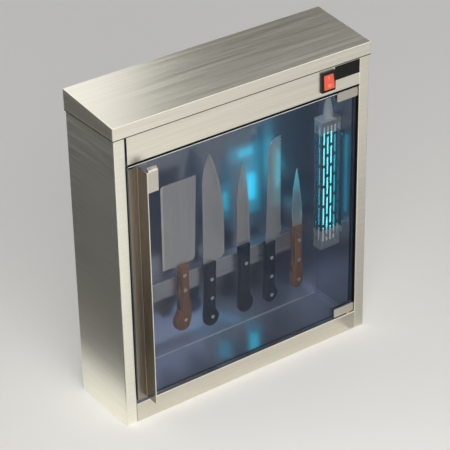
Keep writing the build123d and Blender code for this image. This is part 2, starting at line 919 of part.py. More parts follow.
front_full, front_short = slot_places(front_slot_columns, cage_x)
side_full, side_short = slot_places(side_slot_columns, cage_y)

with BuildPart() as lamp_cage:
    with BuildSketch(Plane.XY.offset(cage_bottom)):
        with Locations((cage_x, cage_y)):
            Rectangle(cage_width, cage_depth)
    extrude(amount=cage_height)
    with Locations((cage_x, cage_y, cage_z)):
        Box(
            cage_width - 2 * cage_sheet,
            cage_depth - 2 * cage_sheet,
            cage_height - 2 * cage_sheet,
            mode=Mode.SUBTRACT,
        )
    with BuildSketch(Plane.YZ.offset(cage_right - cage_sheet)):
        for level in (cage_bottom + cage_tab_inset, cage_top - cage_tab_inset):
            with Locations((cage_y, level)):
                RectangleRounded(
                    cage_depth + 2 * cage_tab, cage_tab_height, 2 * cage_sheet
                )
        with Locations(*cage_rivet_places):
            Circle(rivet_radius + seat, mode=Mode.SUBTRACT)
    extrude(amount=cage_sheet)
    with BuildSketch(Plane.XZ.offset(-cage_front - cage_depth)):
        with Locations(*front_full):
            SlotOverall(slot_length, slot_width, rotation=90)
        with Locations(*front_short):
            SlotOverall(short_slot, slot_width, rotation=90)
    extrude(amount=cage_depth, mode=Mode.SUBTRACT)
    with BuildSketch(Plane.YZ.offset(cage_left)):
        with Locations(*side_full):
            SlotOverall(slot_length, slot_width, rotation=90)
        with Locations(*side_short):
            SlotOverall(short_slot, slot_width, rotation=90)
    extrude(amount=cage_sheet, mode=Mode.SUBTRACT)
    with Locations((lamp_x, lamp_y, cage_top)):
        Cylinder(sleeve_bore, 3 * cage_sheet, mode=Mode.SUBTRACT)
save(lamp_cage, "lamp_cage")

# White cap plate on the guard, carrying the sleeve
with BuildPart() as cage_top_plate:
    with BuildSketch(Plane.XY.offset(cage_top)):
        with Locations((cage_left + cap_width / 2, cage_y)):
            RectangleRounded(cap_width, cage_depth + 2 * cap_overhang, cap_thick / 2)
    extrude(amount=cap_thick)
    fillet(cage_top_plate.faces().sort_by(Axis.Z)[-1].edges(), cap_thick / 4)
    with Locations((lamp_x, lamp_y, cage_top)):
        Cylinder(sleeve_bore, 3 * cap_thick, mode=Mode.SUBTRACT)
save(cage_top_plate, "cage_top_plate")

# Lamp holder under the guard's top
with BuildPart() as lamp_socket:
    with BuildSketch(Plane.XY.offset(base_top)):
        with Locations((lamp_x, lamp_y)):
            RectangleRounded(socket_width, socket_depth, sleeve_bore)
    extrude(amount=socket_height)
save(lamp_socket, "lamp_socket")

# Lamp base, plugged up against the holder
with BuildPart() as lamp_base:
    with BuildSketch(Plane.XY.offset(tube_top)):
        with Locations((lamp_x, lamp_y)):
            RectangleRounded(base_width, base_depth, sleeve_bore)
    extrude(amount=base_height)
    fillet(lamp_base.faces().sort_by(Axis.Z)[0].edges(), sleeve_bore / 2)
save(lamp_base, "lamp_base")

# Lamp: two tubes with round lower ends and a bridge between them
with BuildPart() as lamp_tubes:
    with Locations((lamp_x, lamp_y, tube_top)):
        with GridLocations(tube_pitch, 0, 2, 1):
            Cylinder(
                tube_radius,
                tube_length,
                align=(Align.CENTER, Align.CENTER, Align.MAX),
            )
    round_ends = lamp_tubes.faces().filter_by(GeomType.PLANE).sort_by(Axis.Z)[0:2]
    fillet(round_ends.edges(), tube_end_round)
    with BuildSketch(Plane.YZ.offset(lamp_x)):
        with Locations((lamp_y, tube_bottom + tube_bridge_rise)):
            Circle(tube_bridge_radius)
    extrude(amount=tube_pitch / 2, both=True)
save(lamp_tubes, "lamp_tubes")

# Lower lamp support on the guard's rear wall, with a cup for each tube
support_back_y = cage_front + cage_depth - cage_sheet

with BuildPart() as lamp_support:
    with Locations((lamp_x, support_back_y, support_top)):
        Box(
            support_width,
            support_back_y - lamp_y + support_depth / 2,
            support_height,
            align=(Align.CENTER, Align.MAX, Align.MAX),
        )
    fillet(lamp_support.edges().filter_by(Axis.Z), sleeve_bore)
    with Locations((lamp_x, lamp_y, support_top)):
        with GridLocations(tube_pitch, 0, 2, 1):
            Cylinder(
                tube_radius + seat_gap,
                support_cup + seat_gap,
                align=(Align.CENTER, Align.CENTER, Align.MAX),
                mode=Mode.SUBTRACT,
            )
save(lamp_support, "lamp_support")

# Sleeve over the lamp leads: a bell on the cap plate, narrowing to a neck through the shelf
sleeve_height = shelf_top + sleeve_top_reach - cap_top
lamp_axis_plane = Plane(origin=(lamp_x, lamp_y, cap_top), x_dir=(1, 0, 0), z_dir=(0, -1, 0))

with BuildPart() as lamp_sleeve:
    with BuildSketch(lamp_axis_plane):
        with BuildLine():
            Line((sleeve_bore, 0), (sleeve_base_radius, 0))
            Spline(
                (sleeve_base_radius, 0),
                (sleeve_shoulder_radius, sleeve_shoulder_height),
                (sleeve_neck_radius, sleeve_neck_height),
                tangents=((0, 1), (0, 1)),
            )
            Polyline(
                (sleeve_neck_radius, sleeve_neck_height),
                (sleeve_neck_radius, sleeve_height),
                (sleeve_bore, sleeve_height),
                (sleeve_bore, 0),
            )
        make_face()
    revolve(axis=Axis((lamp_x, lamp_y, 0), (0, 0, 1)))
save(lamp_sleeve, "lamp_sleeve")

# Ballast: a folded can on two feet
with BuildPart() as ballast:
    with Locations((ballast_x, ballast_y, shelf_top)):
        Box(
            ballast_length + 2 * ballast_foot,
            ballast_width,
            sheet,
            align=(Align.CENTER, Align.CENTER, Align.MIN),
        )
        Box(
            ballast_length,
            ballast_width,
            ballast_height,
            align=(Align.CENTER, Align.CENTER, Align.MIN),
        )
    fillet(ballast.faces().sort_by(Axis.Z)[-1].edges(), bend)
    with Locations((ballast_x, ballast_y, shelf_top)):
        with GridLocations(ballast_screw_pitch, 0, 2, 1):
            Cylinder(screw_radius + seat, 3 * sheet, mode=Mode.SUBTRACT)
save(ballast, "ballast")

# Terminal block: a row of ways, each with its screw well
block_top = shelf_top + block_height

with BuildPart() as terminal_block:
    with Locations((block_x, block_y, shelf_top)):
        Box(
            block_length,
            block_width,
            block_height,
            align=(Align.CENTER, Align.CENTER, Align.MIN),
        )
    chamfer(terminal_block.faces().sort_by(Axis.Z)[-1].edges(), wire_radius)
    with Locations((block_x, block_y, block_top)):
        with GridLocations(block_pitch, 0, block_ways, 1):
            Cylinder(block_screw_radius, 2 * block_screw_depth, mode=Mode.SUBTRACT)
save(terminal_block, "terminal_block")

# Cable gland through the right wall, with its nut inside
gland_axis_plane = Plane(
    origin=(half_body_width, gland_y, gland_z), x_dir=(0, 1, 0), z_dir=(1, 0, 0)
)

with BuildPart() as cable_gland:
    with BuildSketch(gland_axis_plane):
        Circle(gland_radius)
    extrude(amount=-gland_reach)
    with BuildSketch(gland_axis_plane):
        RegularPolygon(gland_flange_radius, 6)
    extrude(amount=gland_flange)
    with BuildSketch(gland_axis_plane):
        Circle(gland_dome_radius)
    extrude(amount=gland_flange + gland_dome)
    fillet(cable_gland.faces().sort_by(Axis.X)[-1].edges(), gland_bore / 2)
    with BuildSketch(gland_axis_plane.offset(-gland_reach)):
        Circle(gland_bore)
    extrude(amount=2 * gland_reach + gland_dome, mode=Mode.SUBTRACT)
save(cable_gland, "cable_gland")

with BuildPart() as gland_nut:
    with BuildSketch(gland_axis_plane.offset(-sheet)):
        RegularPolygon(gland_nut_size / 2, 6)
        Circle(gland_radius + seat, mode=Mode.SUBTRACT)
    extrude(amount=-gland_nut_length)
save(gland_nut, "gland_nut")

# Leads held inside the electrical space, each from one terminal to the next
block_front_y = block_y - block_width / 2
ballast_end_x = ballast_x + ballast_length / 2
wire_z = shelf_top + wire_entry
terminal_end_y = body_back_y + terminal_length
upper_terminal_z = switch_z + terminal_pitch / 2
lower_terminal_z = switch_z - terminal_pitch / 2
lamp_wire_z = shelf_top + ballast_height
way_x = [
    block_x + (way - (block_ways - 1) / 2) * block_pitch for way in range(block_ways)
]

lead_routes = [
    [
        (switch_x, terminal_end_y, upper_terminal_z),
        (switch_x, terminal_end_y + 21, upper_terminal_z),
        (switch_x - 37, 5, upper_terminal_z - 14),
        (way_x[2], block_front_y - 19, wire_z),
        (way_x[2], block_front_y, wire_z),
    ],
    [
        (switch_x, terminal_end_y, lower_terminal_z),
        (switch_x, terminal_end_y + 23, lower_terminal_z),
        (switch_x - 27, 0, lower_terminal_z - 8),
        (way_x[3], block_front_y - 21, wire_z),
        (way_x[3], block_front_y, wire_z),
    ],
    [
        (ballast_end_x, ballast_y - 8, lamp_wire_z - 8),
        (ballast_end_x + 27, ballast_y - 8, lamp_wire_z - 8),
        (ballast_end_x + 55, ballast_y - 20, lamp_wire_z - 12),
        (way_x[0], block_front_y - 19, wire_z),
        (way_x[0], block_front_y, wire_z),
    ],
    [
        (interlock_x, interlock_wire_y, ceiling_z),
        (interlock_x, interlock_wire_y, ceiling_z + 9),
        (interlock_x - 20, interlock_wire_y + 26, ceiling_z + 10),
        (interlock_x - 52, 4, wire_z - 2),
        (way_x[1], block_front_y - 19, wire_z),
        (way_x[1], block_front_y, wire_z),
    ],
    [
        (ballast_end_x, ballast_y + 6, lamp_wire_z - 4),
        (ballast_end_x + 37, ballast_y + 6, lamp_wire_z - 4),
        (ballast_end_x + 78, ballast_y - 5, lamp_wire_z + 7),
        (ballast_end_x + 124, lamp_y + 6, lamp_wire_z + 5),
        (ballast_end_x + 170, lamp_y - 1, lamp_wire_z),
        (lamp_x - wire_radius - seat, lamp_y, lamp_wire_z - 1),
        (lamp_x - wire_radius - seat, lamp_y, socket_top),
    ],
    [
        (ballast_end_x, ballast_y, lamp_wire_z - 4),
        (ballast_end_x + 37, ballast_y, lamp_wire_z - 4),
        (ballast_end_x + 78, ballast_y - 14, lamp_wire_z + 7),
        (ballast_end_x + 124, lamp_y - 2, lamp_wire_z + 11),
        (ballast_end_x + 170, lamp_y - 7, lamp_wire_z + 11),
        (lamp_x + wire_radius + seat, lamp_y, lamp_wire_z + 9),
        (lamp_x + wire_radius + seat, lamp_y, socket_top),
    ],
]


def bend_radii(route):
    """For each corner, the radius that takes the bend's share of the shorter run beside it."""
    points = [Vector(point) for point in route]
    radii = []
    for before, corner, after in zip(points, points[1:], points[2:]):
        arriving = corner - before
        leaving = after - corner
        half_turn = radians(arriving.get_angle(leaving) / 2)
        radii.append(bend_share * min(arriving.length, leaving.length) / tan(half_turn))
    return radii


with BuildPart() as internal_wires:
    for route in lead_routes:
        radii = bend_radii(route)
        print("lead radii", [round(radius, 1) for radius in radii])
        with BuildLine() as lead:
            FilletPolyline(*route, radius=radii)
        with BuildSketch(lead.line ^ 0):
            Circle(wire_radius)
        sweep(path=lead.line)
save(internal_wires, "internal_wires")

# Magnetic bar: a folded cover over a core that holds a row of magnets, screwed to the back panel
with BuildPart() as bar_cover:
    with Locations((bar_x, wall_y, bar_z)):
        Box(
            bar_length,
            bar_depth,
            bar_height,
            align=(Align.CENTER, Align.MAX, Align.CENTER),
        )
    fillet(bar_cover.faces().sort_by(Axis.Y)[0].edges(), bend / 2)
    with Locations((bar_x, wall_y, bar_z)):
        Box(
            bar_length - 2 * bar_sheet,
            bar_depth - bar_sheet,
            bar_height - 2 * bar_sheet,
            align=(Align.CENTER, Align.MAX, Align.CENTER),
            mode=Mode.SUBTRACT,
        )
save(bar_cover, "bar_cover")

core_front_y = bar_front_y + bar_sheet + joint_gap
bar_screw_pitch = bar_length - 2 * bar_screw_inset

with BuildPart() as bar_core:
    with Locations((bar_x, wall_y, bar_z)):
        Box(
            bar_length - 2 * (bar_sheet + joint_gap),
            wall_y - core_front_y,
            bar_height - 2 * (bar_sheet + joint_gap),
            align=(Align.CENTER, Align.MAX, Align.CENTER),
        )
    with Locations((bar_x, core_front_y, bar_z)):
        with GridLocations(magnet_pitch, 0, magnet_count, 1):
            Box(
                magnet_width + 2 * seat,
                2 * magnet_thick,
                magnet_height + 2 * seat,
                mode=Mode.SUBTRACT,
            )
    with BuildSketch(Plane.XZ.offset(-wall_y)):
        with Locations((bar_x, bar_z)):
            with GridLocations(bar_screw_pitch, 0, 2, 1):
                Circle(bar_screw_radius + seat)
    extrude(amount=bar_depth, mode=Mode.SUBTRACT)
    with BuildSketch(Plane.XZ.offset(-core_front_y)):
        with Locations((bar_x, bar_z)):
            with GridLocations(bar_screw_pitch, 0, 2, 1):
                Circle(bar_screw_head_radius + joint_gap)
    extrude(amount=-bar_screw_head_depth, mode=Mode.SUBTRACT)
save(bar_core, "bar_core")

with BuildPart() as bar_magnets:
    with Locations((bar_x, core_front_y, bar_z)):
        with GridLocations(magnet_pitch, 0, magnet_count, 1):
            Box(
                magnet_width,
                magnet_thick,
                magnet_height,
                align=(Align.CENTER, Align.MIN, Align.CENTER),
            )
save(bar_magnets, "bar_magnets")

bar_screw_seat_y = core_front_y + bar_screw_head_depth
bar_screw = fastener(
    bar_screw_head_radius,
    bar_screw_head_depth - joint_gap,
    bar_screw_radius,
    wall_y + sheet - bar_screw_seat_y,
    screw_recess,
)

with BuildPart() as bar_screws:
    for side in (-0.5, 0.5):
        head_seat = Plane(
            origin=(bar_x + side * bar_screw_pitch, bar_screw_seat_y, bar_z),
            z_dir=(0, -1, 0),
        )
        with Locations(head_seat):
            add(bar_screw)
save(bar_screws, "bar_screws")


@dataclass
class Knife:
    """One knife, outlined across and up from the middle of its guard, blade above, grip below.

    A blade's stretch of two points is a straight line, a longer one is a smooth curve.
    A grip is one smooth curve from the edge side of the guard round to the spine side.
    """

    name: str
    x: float
    guard_z: float
    spine: float
    edge: float
    blade: list
    grip: list
    rivet_x: float
    rivets: list
    tang_length: float
    serrated_from: float = 0.0
    serrated_to: float = 0.0


knives = [
    Knife(
        name="cleaver",
        x=-64.0,
        guard_z=206.5,
        spine=33.5,
        edge=-44.0,
        blade=[
            [(-44, 0), (-43, 171)],
            [(-43, 171), (-41.5, 174), (-37, 174.5)],
            [(-37, 174.5), (33.5, 166)],
            [(33.5, 166), (27.5, 8)],
            [(27.5, 8), (24, 2.5), (17, 0)],
            [(17, 0), (-44, 0)],
        ],
        grip=[
            (11, 0),
            (10.4, -66),
            (12, -125),
            (6.5, -137),
            (-8, -139),
            (-20, -134),
            (-23.5, -118),
            (-14.5, -100),
            (-11, -74),
            (-11, 0),
        ],
        rivet_x=-1.5,
        rivets=[-21, -53, -118],
        tang_length=126.0,
    ),
    Knife(
        name="chef_knife",
        x=-4.5,
        guard_z=187.0,
        spine=-13.2,
        edge=35.5,
        blade=[
            [(-13.2, 0), (-12.5, 165)],
            [(-12.5, 165), (-4.6, 207), (6.5, 228)],
            [(6.5, 228), (20.5, 188), (31.5, 135), (35.5, 70), (35.5, 31)],
            [(35.5, 31), (35, 7)],
            [(35, 7), (29, 2.5), (13, 0)],
            [(13, 0), (-13.2, 0)],
        ],
        grip=[
            (13, 0),
            (11.2, -67),
            (15.5, -117),
            (10, -131),
            (-3.5, -135),
            (-12.5, -131),
            (-15, -119),
            (-12.5, -90),
            (-12.5, 0),
        ],
        rivet_x=0.0,
        rivets=[-33, -74, -115.5],
        tang_length=122.0,
    ),
    Knife(
        name="utility_knife",
        x=75.0,
        guard_z=198.0,
        spine=-15.3,
        edge=15.5,
        blade=[
            [(-15.3, 0), (-14.4, 75.5)],
            [(-14.4, 75.5), (-10, 139), (-2, 176)],
            [(-2, 176), (5, 150), (11.2, 108), (14.5, 43), (15.5, 0)],
            [(15.5, 0), (-15.3, 0)],
        ],
        grip=[
            (12.5, 0),
            (11.5, -72),
            (17, -130),
            (10.5, -144),
            (-3, -147),
            (-12.5, -142),
            (-14, -128),
            (-11.5, -80),
            (-12.5, 0),
        ],
        rivet_x=0.4,
        rivets=[-39],
        tang_length=104.0,
    ),
    Knife(
        name="bread_knife",
        x=136.0,
        guard_z=180.0,
        spine=-8.4,
        edge=28.5,
        blade=[
            [(-8.4, 0), (0.5, 200)],
            [(0.5, 200), (9, 214), (29, 220)],
            [(29, 220), (28.5, 23)],
            [(28.5, 23), (24, 8), (11.5, 0)],
            [(11.5, 0), (-8.4, 0)],
        ],
        grip=[
            (11.5, 0),
            (10, -66),
            (13.5, -115),
            (8.5, -127),
            (-3.5, -130),
            (-12.5, -125),
            (-14, -112),
            (-11.5, -70),
            (-12, 0),
        ],
        rivet_x=-0.5,
        rivets=[-31, -72, -114],
        tang_length=120.0,
        serrated_from=26.0,
        serrated_to=216.0,
    ),
    Knife(
        name="paring_knife",
        x=201.5,
        guard_z=193.0,
        spine=-9.0,
        edge=12.5,
        blade=[
            [(-9, 0), (-11, 27)],
            [(-11, 27), (-8, 78), (0.5, 123.6)],
            [(0.5, 123.6), (8.5, 74), (13, 20), (12, 0)],
            [(12, 0), (-9, 0)],
        ],
        grip=[
            (10, 0),
            (9, -64),
            (12, -118),
            (7.5, -131),
            (-4.5, -134),
            (-13, -129),
            (-14.5, -117),
            (-10.5, -74),
            (-11, 0),
        ],
        rivet_x=0.2,
        rivets=[-29, -73, -117],
        tang_length=124.0,
    ),
]

for knife in knives:
    knife_plane = Plane(
        origin=(knife.x, knife_y, knife.guard_z), x_dir=(1, 0, 0), z_dir=(0, -1, 0)
    )
    rivet_places = [(knife.rivet_x, rivet) for rivet in knife.rivets]
    blade_height = max(point[1] for stretch in knife.blade for point in stretch)

    with BuildPart() as blade:
        with BuildSketch(knife_plane):
            with BuildLine():
                for stretch in knife.blade:
                    if len(stretch) > 2:
                        Spline(*stretch)
                    else:
                        Line(*stretch)
            make_face()
        extrude(amount=blade_thick / 2, both=True)
        with BuildSketch(Plane.XY.offset(knife.guard_z)):
            with Locations((knife.x, knife_y)):
                Polygon(
                    (knife.spine, -blade_thick / 2),
                    (knife.spine, blade_thick / 2),
                    (knife.edge, edge_thick / 2),
                    (knife.edge, -edge_thick / 2),
                    align=None,
                )
        extrude(amount=blade_height, mode=Mode.INTERSECT)
        if knife.serrated_to:
            serrations = round(
                (knife.serrated_to - knife.serrated_from) / serration_pitch
            )
            half_pitch = serration_pitch / 2
            hollow = (half_pitch**2 + serration_depth**2) / (2 * serration_depth)
            middle = (knife.serrated_from + knife.serrated_to) / 2
            with BuildSketch(knife_plane.offset(-blade_thick)):
                with Locations((knife.edge + hollow - serration_depth, middle)):
                    with GridLocations(0, serration_pitch, 1, serrations):
                        Circle(hollow)
            extrude(amount=2 * blade_thick, mode=Mode.SUBTRACT)
        with BuildSketch(knife_plane):
            with Locations((knife.rivet_x, 0)):
                Rectangle(
                    tang_width, knife.tang_length, align=(Align.CENTER, Align.MAX)
                )
            with Locations(*rivet_places):
                Circle(knife_rivet_radius + seat, mode=Mode.SUBTRACT)
        extrude(amount=blade_thick / 2, both=True)
    save(blade, f"{knife.name}_blade")

    with BuildPart() as grip:
        with BuildSketch(knife_plane):
            with BuildLine():
                Spline(*knife.grip, tangents=((0, -1), (0, 1)))
                Line(knife.grip[-1], knife.grip[0])
            make_face()
        extrude(amount=grip_thick / 2, both=True)
        fillet(
            grip.faces().sort_by(Axis.Y)[0].edges()
            + grip.faces().sort_by(Axis.Y)[-1].edges(),
            grip_round,
        )
        with BuildSketch(knife_plane):
            with Locations((knife.rivet_x, 0)):
                Rectangle(
                    tang_width + 2 * seat,
                    knife.tang_length + seat,
                    align=(Align.CENTER, Align.MAX),
                )
        extrude(amount=blade_thick / 2 + seat, both=True, mode=Mode.SUBTRACT)
        with BuildSketch(knife_plane):
            with Locations(*rivet_places):
                Circle(knife_rivet_radius + seat)
        extrude(amount=grip_thick, both=True, mode=Mode.SUBTRACT)
    save(grip, f"{knife.name}_handle")

    with BuildPart() as rivets:
        with BuildSketch(knife_plane):
            with Locations(*rivet_places):
                Circle(knife_rivet_radius)
        extrude(amount=grip_thick / 2, both=True)
    save(rivets, f"{knife.name}_rivets")

# Pan head screws: the lid's at the back, the shelf's on the fascia's return, the ballast's
lid_screw = fastener(
    screw_head_radius,
    screw_head_height,
    screw_radius,
    depth / 2 - wall_y,
    screw_recess,
)
shelf_screw = fastener(
    screw_head_radius, screw_head_height, screw_radius, 2 * sheet, screw_recess
)

with BuildPart() as pan_head_screws:
    for step in (-1, 0, 1):
        head_seat = Plane(
            origin=(step * lid_screw_pitch, depth / 2, lid_screw_z), z_dir=(0, 1, 0)
        )
        with Locations(head_seat):
            add(lid_screw)
    for x, y in shelf_screw_places:
        with Locations((x, y, shelf_top)):
            add(shelf_screw)
    for side in (-0.5, 0.5):
        with Locations(
            (ballast_x + side * ballast_screw_pitch, ballast_y, shelf_top + sheet)
        ):
            add(shelf_screw)
save(pan_head_screws, "pan_head_screws")

# Rivets: the back flanges', the floor upturn's and the lamp guard's tabs
rivet = fastener(rivet_head_radius, rivet_head_height, rivet_radius, 2 * sheet)
tab_rivet = fastener(
    rivet_head_radius,
    rivet_head_height,
    rivet_radius,
    half_body_width - cage_right + cage_sheet,
)

with BuildPart() as panel_rivets:
    for side in (-1, 1):
        for row in range(back_rivet_rows):
            head_seat = Plane(
                origin=(
                    side * flange_rivet_x,
                    back_y,
                    back_rivet_first + row * back_rivet_pitch,
                ),
                z_dir=(0, 1, 0),
            )
            with Locations(head_seat):
                add(rivet)
    for step in (-1, 0, 1):
        head_seat = Plane(
            origin=(step * floor_rivet_pitch, back_y, fold / 2), z_dir=(0, 1, 0)
        )
        with Locations(head_seat):
            add(rivet)
    for y, z in cage_rivet_places:
        head_seat = Plane(origin=(cage_right - cage_sheet, y, z), z_dir=(-1, 0, 0))
        with Locations(head_seat):
            add(tab_rivet)
save(panel_rivets, "panel_rivets")
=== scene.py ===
"""Knife sterilizer cabinet: the finishes, the fine pieces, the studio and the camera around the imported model.

Metres, in the model's own frame: X along the front, Y from the front to the back, Z up.
"""

from math import radians

import bmesh
import bpy
import numpy as np
from bpy.props import FloatProperty, FloatVectorProperty, PointerProperty
from bpy.types import Operator, Panel, PropertyGroup
from mathutils import Matrix, Vector


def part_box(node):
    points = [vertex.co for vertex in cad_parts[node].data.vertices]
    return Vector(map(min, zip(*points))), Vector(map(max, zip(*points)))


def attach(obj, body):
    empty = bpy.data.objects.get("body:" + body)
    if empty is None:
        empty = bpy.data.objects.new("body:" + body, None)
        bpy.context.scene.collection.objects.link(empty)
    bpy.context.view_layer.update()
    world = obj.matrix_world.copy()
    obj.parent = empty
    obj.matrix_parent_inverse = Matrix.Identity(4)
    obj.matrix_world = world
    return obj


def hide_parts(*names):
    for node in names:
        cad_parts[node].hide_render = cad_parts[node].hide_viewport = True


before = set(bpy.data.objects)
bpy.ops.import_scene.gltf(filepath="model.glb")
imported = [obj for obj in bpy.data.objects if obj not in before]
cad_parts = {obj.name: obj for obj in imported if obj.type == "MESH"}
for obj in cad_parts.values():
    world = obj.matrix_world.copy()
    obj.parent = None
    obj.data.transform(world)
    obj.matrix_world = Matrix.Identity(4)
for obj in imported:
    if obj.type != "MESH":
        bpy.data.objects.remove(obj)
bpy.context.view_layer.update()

bl_info = {
    "name": "Knife Sterilizer Cabinet",
    "version": (1, 0, 0),
    "blender": (4, 5, 0),
    "location": "View3D > Sidebar > Cabinet",
    "description": "Finishes a steel knife sterilizer cabinet with its lamp, glass door and knives",
    "category": "Add Mesh",
}

MM = 0.001
WHITE = (1.0, 1.0, 1.0)

# Knives on the bar: place of the guard's middle, then outlines across and up from it, in millimetres.
# A grip's two sides run from the guard down to the butt. A blade's spine and edge run from the guard up.
# Rivets have one place across and a level each.
KNIVES = {
    "cleaver": {
        "place": (-64.0, 206.5),
        "grip": "wood",
        "grip_edge": [(-11, 0), (-11, -74), (-14.5, -100), (-23.5, -118), (-20, -134), (-8, -139)],
        "grip_spine": [(11, 0), (10.4, -66), (12, -125), (6.5, -137), (-8, -139)],
        "spine": [[(17, 0), (24, 2.5), (27.5, 8)], [(27.5, 8), (33.5, 166)]],
        "edge": [[(-44, 0), (-43, 171)], [(-43, 171), (-41.5, 173.6), (-38, 174.4)]],
        "rivets": (-1.5, (-21, -53, -118)),
    },
    "chef_knife": {
        "place": (-4.5, 187.0),
        "grip": "black",
        "grip_edge": [(13, 0), (11.2, -60), (11.4, -104), (17, -115), (14, -128), (-3.5, -135)],
        "grip_spine": [(-12.5, 0), (-12.5, -90), (-15, -119), (-12.5, -131), (-3.5, -135)],
        "spine": [[(-13.2, 0), (-12.5, 165)], [(-12.5, 165), (-4.6, 207), (6.5, 228)]],
        "edge": [
            [(13, 0), (29, 2.5), (35, 7)],
            [(35, 7), (35.5, 31)],
            [(35.5, 31), (35.5, 70), (31.5, 135), (20.5, 188), (6.5, 228)],
        ],
        "rivets": (0.0, (-33, -74, -115.5)),
    },
    "utility_knife": {
        "place": (75.0, 198.0),
        "grip": "black",
        "grip_edge": [(12.5, 0), (11.5, -72), (13, -114), (18.5, -126), (14.5, -140), (-3, -147)],
        "grip_spine": [(-12.5, 0), (-11.5, -80), (-14, -128), (-12.5, -142), (-3, -147)],
        "spine": [[(-15.3, 0), (-14.4, 75.5)], [(-14.4, 75.5), (-10, 139), (-2, 176)]],
        "edge": [[(15.5, 0), (14.5, 43), (11.2, 108), (5, 150), (-2, 176)]],
        "rivets": (0.4, (-39,)),
    },
    "bread_knife": {
        "place": (136.0, 180.0),
        "grip": "black",
        "grip_edge": [(11.5, 0), (10, -62), (10.5, -100), (15.5, -111), (12, -124), (-3.5, -130)],
        "grip_spine": [(-12, 0), (-11.5, -70), (-14, -112), (-12.5, -125), (-3.5, -130)],
        "spine": [[(-8.4, 0), (0.5, 200)], [(0.5, 200), (4, 208), (12, 215)]],
        "edge": [[(11.5, 0), (24, 8), (28.5, 23)], [(28.5, 23), (29, 219)]],
        "rivets": (-0.5, (-31, -72, -114)),
        "serrated": True,
    },
    "paring_knife": {
        "place": (201.5, 193.0),
        "grip": "wood",
        "grip_edge": [(10, 0), (9, -64), (12, -118), (7.5, -131), (-4.5, -134)],
        "grip_spine": [(-11, 0), (-10.5, -74), (-14.5, -117), (-13, -129), (-4.5, -134)],
        "spine": [[(-9, 0), (-11, 27)], [(-11, 27), (-8, 78), (0.5, 123.6)]],
        "edge": [[(12, 0), (13, 20), (8.5, 74), (0.5, 123.6)]],
        "rivets": (0.2, (-29, -73, -117)),
    },
}


class SteelSettings(PropertyGroup):
    """Colours and roughness of the sheet metal."""

    panel: FloatVectorProperty(
        name="Panels", description="Colour of the outer sheet", subtype="COLOR",
        min=0, max=1, default=(0.95, 0.905, 0.79),
    )
    inner: FloatVectorProperty(
        name="Inside", description="Colour of the bright inner sheet", subtype="COLOR",
        min=0, max=1, default=(0.50, 0.54, 0.635),
    )
    # The pull's colour is dark as painted shade.
    handle: FloatVectorProperty(
        name="Pull", description="Colour of the folded pull", subtype="COLOR",
        min=0, max=1, default=(0.36, 0.320, 0.268),
    )
    roughness: FloatProperty(
        name="Roughness", description="How wide the brushed sheet spreads a reflection",
        min=0, max=1, default=0.34,
    )


class DoorSettings(PropertyGroup):
    """The smoked pane."""

    smoke: FloatVectorProperty(
        name="Smoke", description="Colour of the smoked glass", subtype="COLOR",
        min=0, max=1, default=(0.025, 0.044, 0.090),
    )
    density: FloatProperty(
        name="Density", description="Share of the light that each face of the pane holds back",
        min=0, max=1, default=0.26,
    )
    # The colour of the painted highlight along the pane's top arris.
    arris_highlight_colour: FloatVectorProperty(
        name="Ground edge", description="Colour of the pane's ground edge", subtype="COLOR",
        min=0, max=1, default=(0.90, 0.93, 0.95),
    )


class LampSettings(PropertyGroup):
    """The germicidal lamp and its glow."""

    glow: FloatVectorProperty(
        name="Glow", description="Colour of the lamp's light", subtype="COLOR",
        min=0, max=1, default=(0.0, 0.62, 0.82),
    )
    strength: FloatProperty(
        name="Strength", description="Brightness of the glowing tubes", min=0, default=2.2,
    )
    spill: FloatProperty(
        name="Spill", description="Light that leaves the guard, in watts", min=0, default=0.16,
    )


class KnifeSettings(PropertyGroup):
    """Blades and grips."""

    blade: FloatVectorProperty(
        name="Blades", description="Colour of the ground blades", subtype="COLOR",
        min=0, max=1, default=(0.80, 0.80, 0.80),
    )
    bevel: FloatProperty(
        name="Bevel", description="Width of the ground bevel along an edge", unit="LENGTH",
        min=0, default=0.0045,
    )
    grip_thickness: FloatProperty(
        name="Grip thickness", description="Thickness of a grip over both scales", unit="LENGTH",
        min=0.005, default=0.0174,
    )
    blade_thickness: FloatProperty(
        name="Blade thickness", description="Thickness of a blade at its spine", unit="LENGTH",
        min=0.0005, default=0.0022,
    )


class StudioSettings(PropertyGroup):
    """Camera, floor and lamps."""

    camera_place: FloatVectorProperty(
        name="Camera", description="Where the camera stands", subtype="TRANSLATION", unit="LENGTH",
        default=(-1.7424, -2.4265, 2.0353),
    )
    camera_turn: FloatVectorProperty(
        name="Camera turn", description="Which way the camera looks", subtype="EULER", unit="ROTATION",
        default=(radians(59.641), radians(0.878), radians(-36.232)),
    )
    lens: FloatProperty(
        name="Lens", description="Focal length in millimetres on a 36 mm frame", min=10, default=152.69,
    )
    floor_colour: FloatVectorProperty(
        name="Floor", description="Colour of the floor", subtype="COLOR",
        min=0, max=1, default=(0.74, 0.735, 0.72),
    )
    key_power: FloatProperty(
        name="Key light", description="Power of the large soft lamp in watts", min=0, default=13.5,
    )
    fill: FloatProperty(
        name="Fill", description="Even light from all round", min=0, default=0.34,
    )


def set_input(socket, value):
    """Links an input to another node's output, or gives it a number, a vector or a colour."""
    if isinstance(value, bpy.types.NodeSocket):
        socket.id_data.links.new(value, socket)
    elif socket.type == "RGBA":
        socket.default_value = (*tuple(value)[:3], 1.0)
    else:
        socket.default_value = value


def set_inputs(node, **inputs):
    """Gives a node's named inputs their values. A name's spaces are written as underscores."""
    for name, value in inputs.items():
        set_input(node.inputs[name.replace("_", " ")], value)


def add_node(tree, kind, settings=(), **inputs):
    """A new shader node with its settings and inputs."""
    made = tree.nodes.new(kind)
    for name, value in settings:
        setattr(made, name, value)
    set_inputs(made, **inputs)
    return made


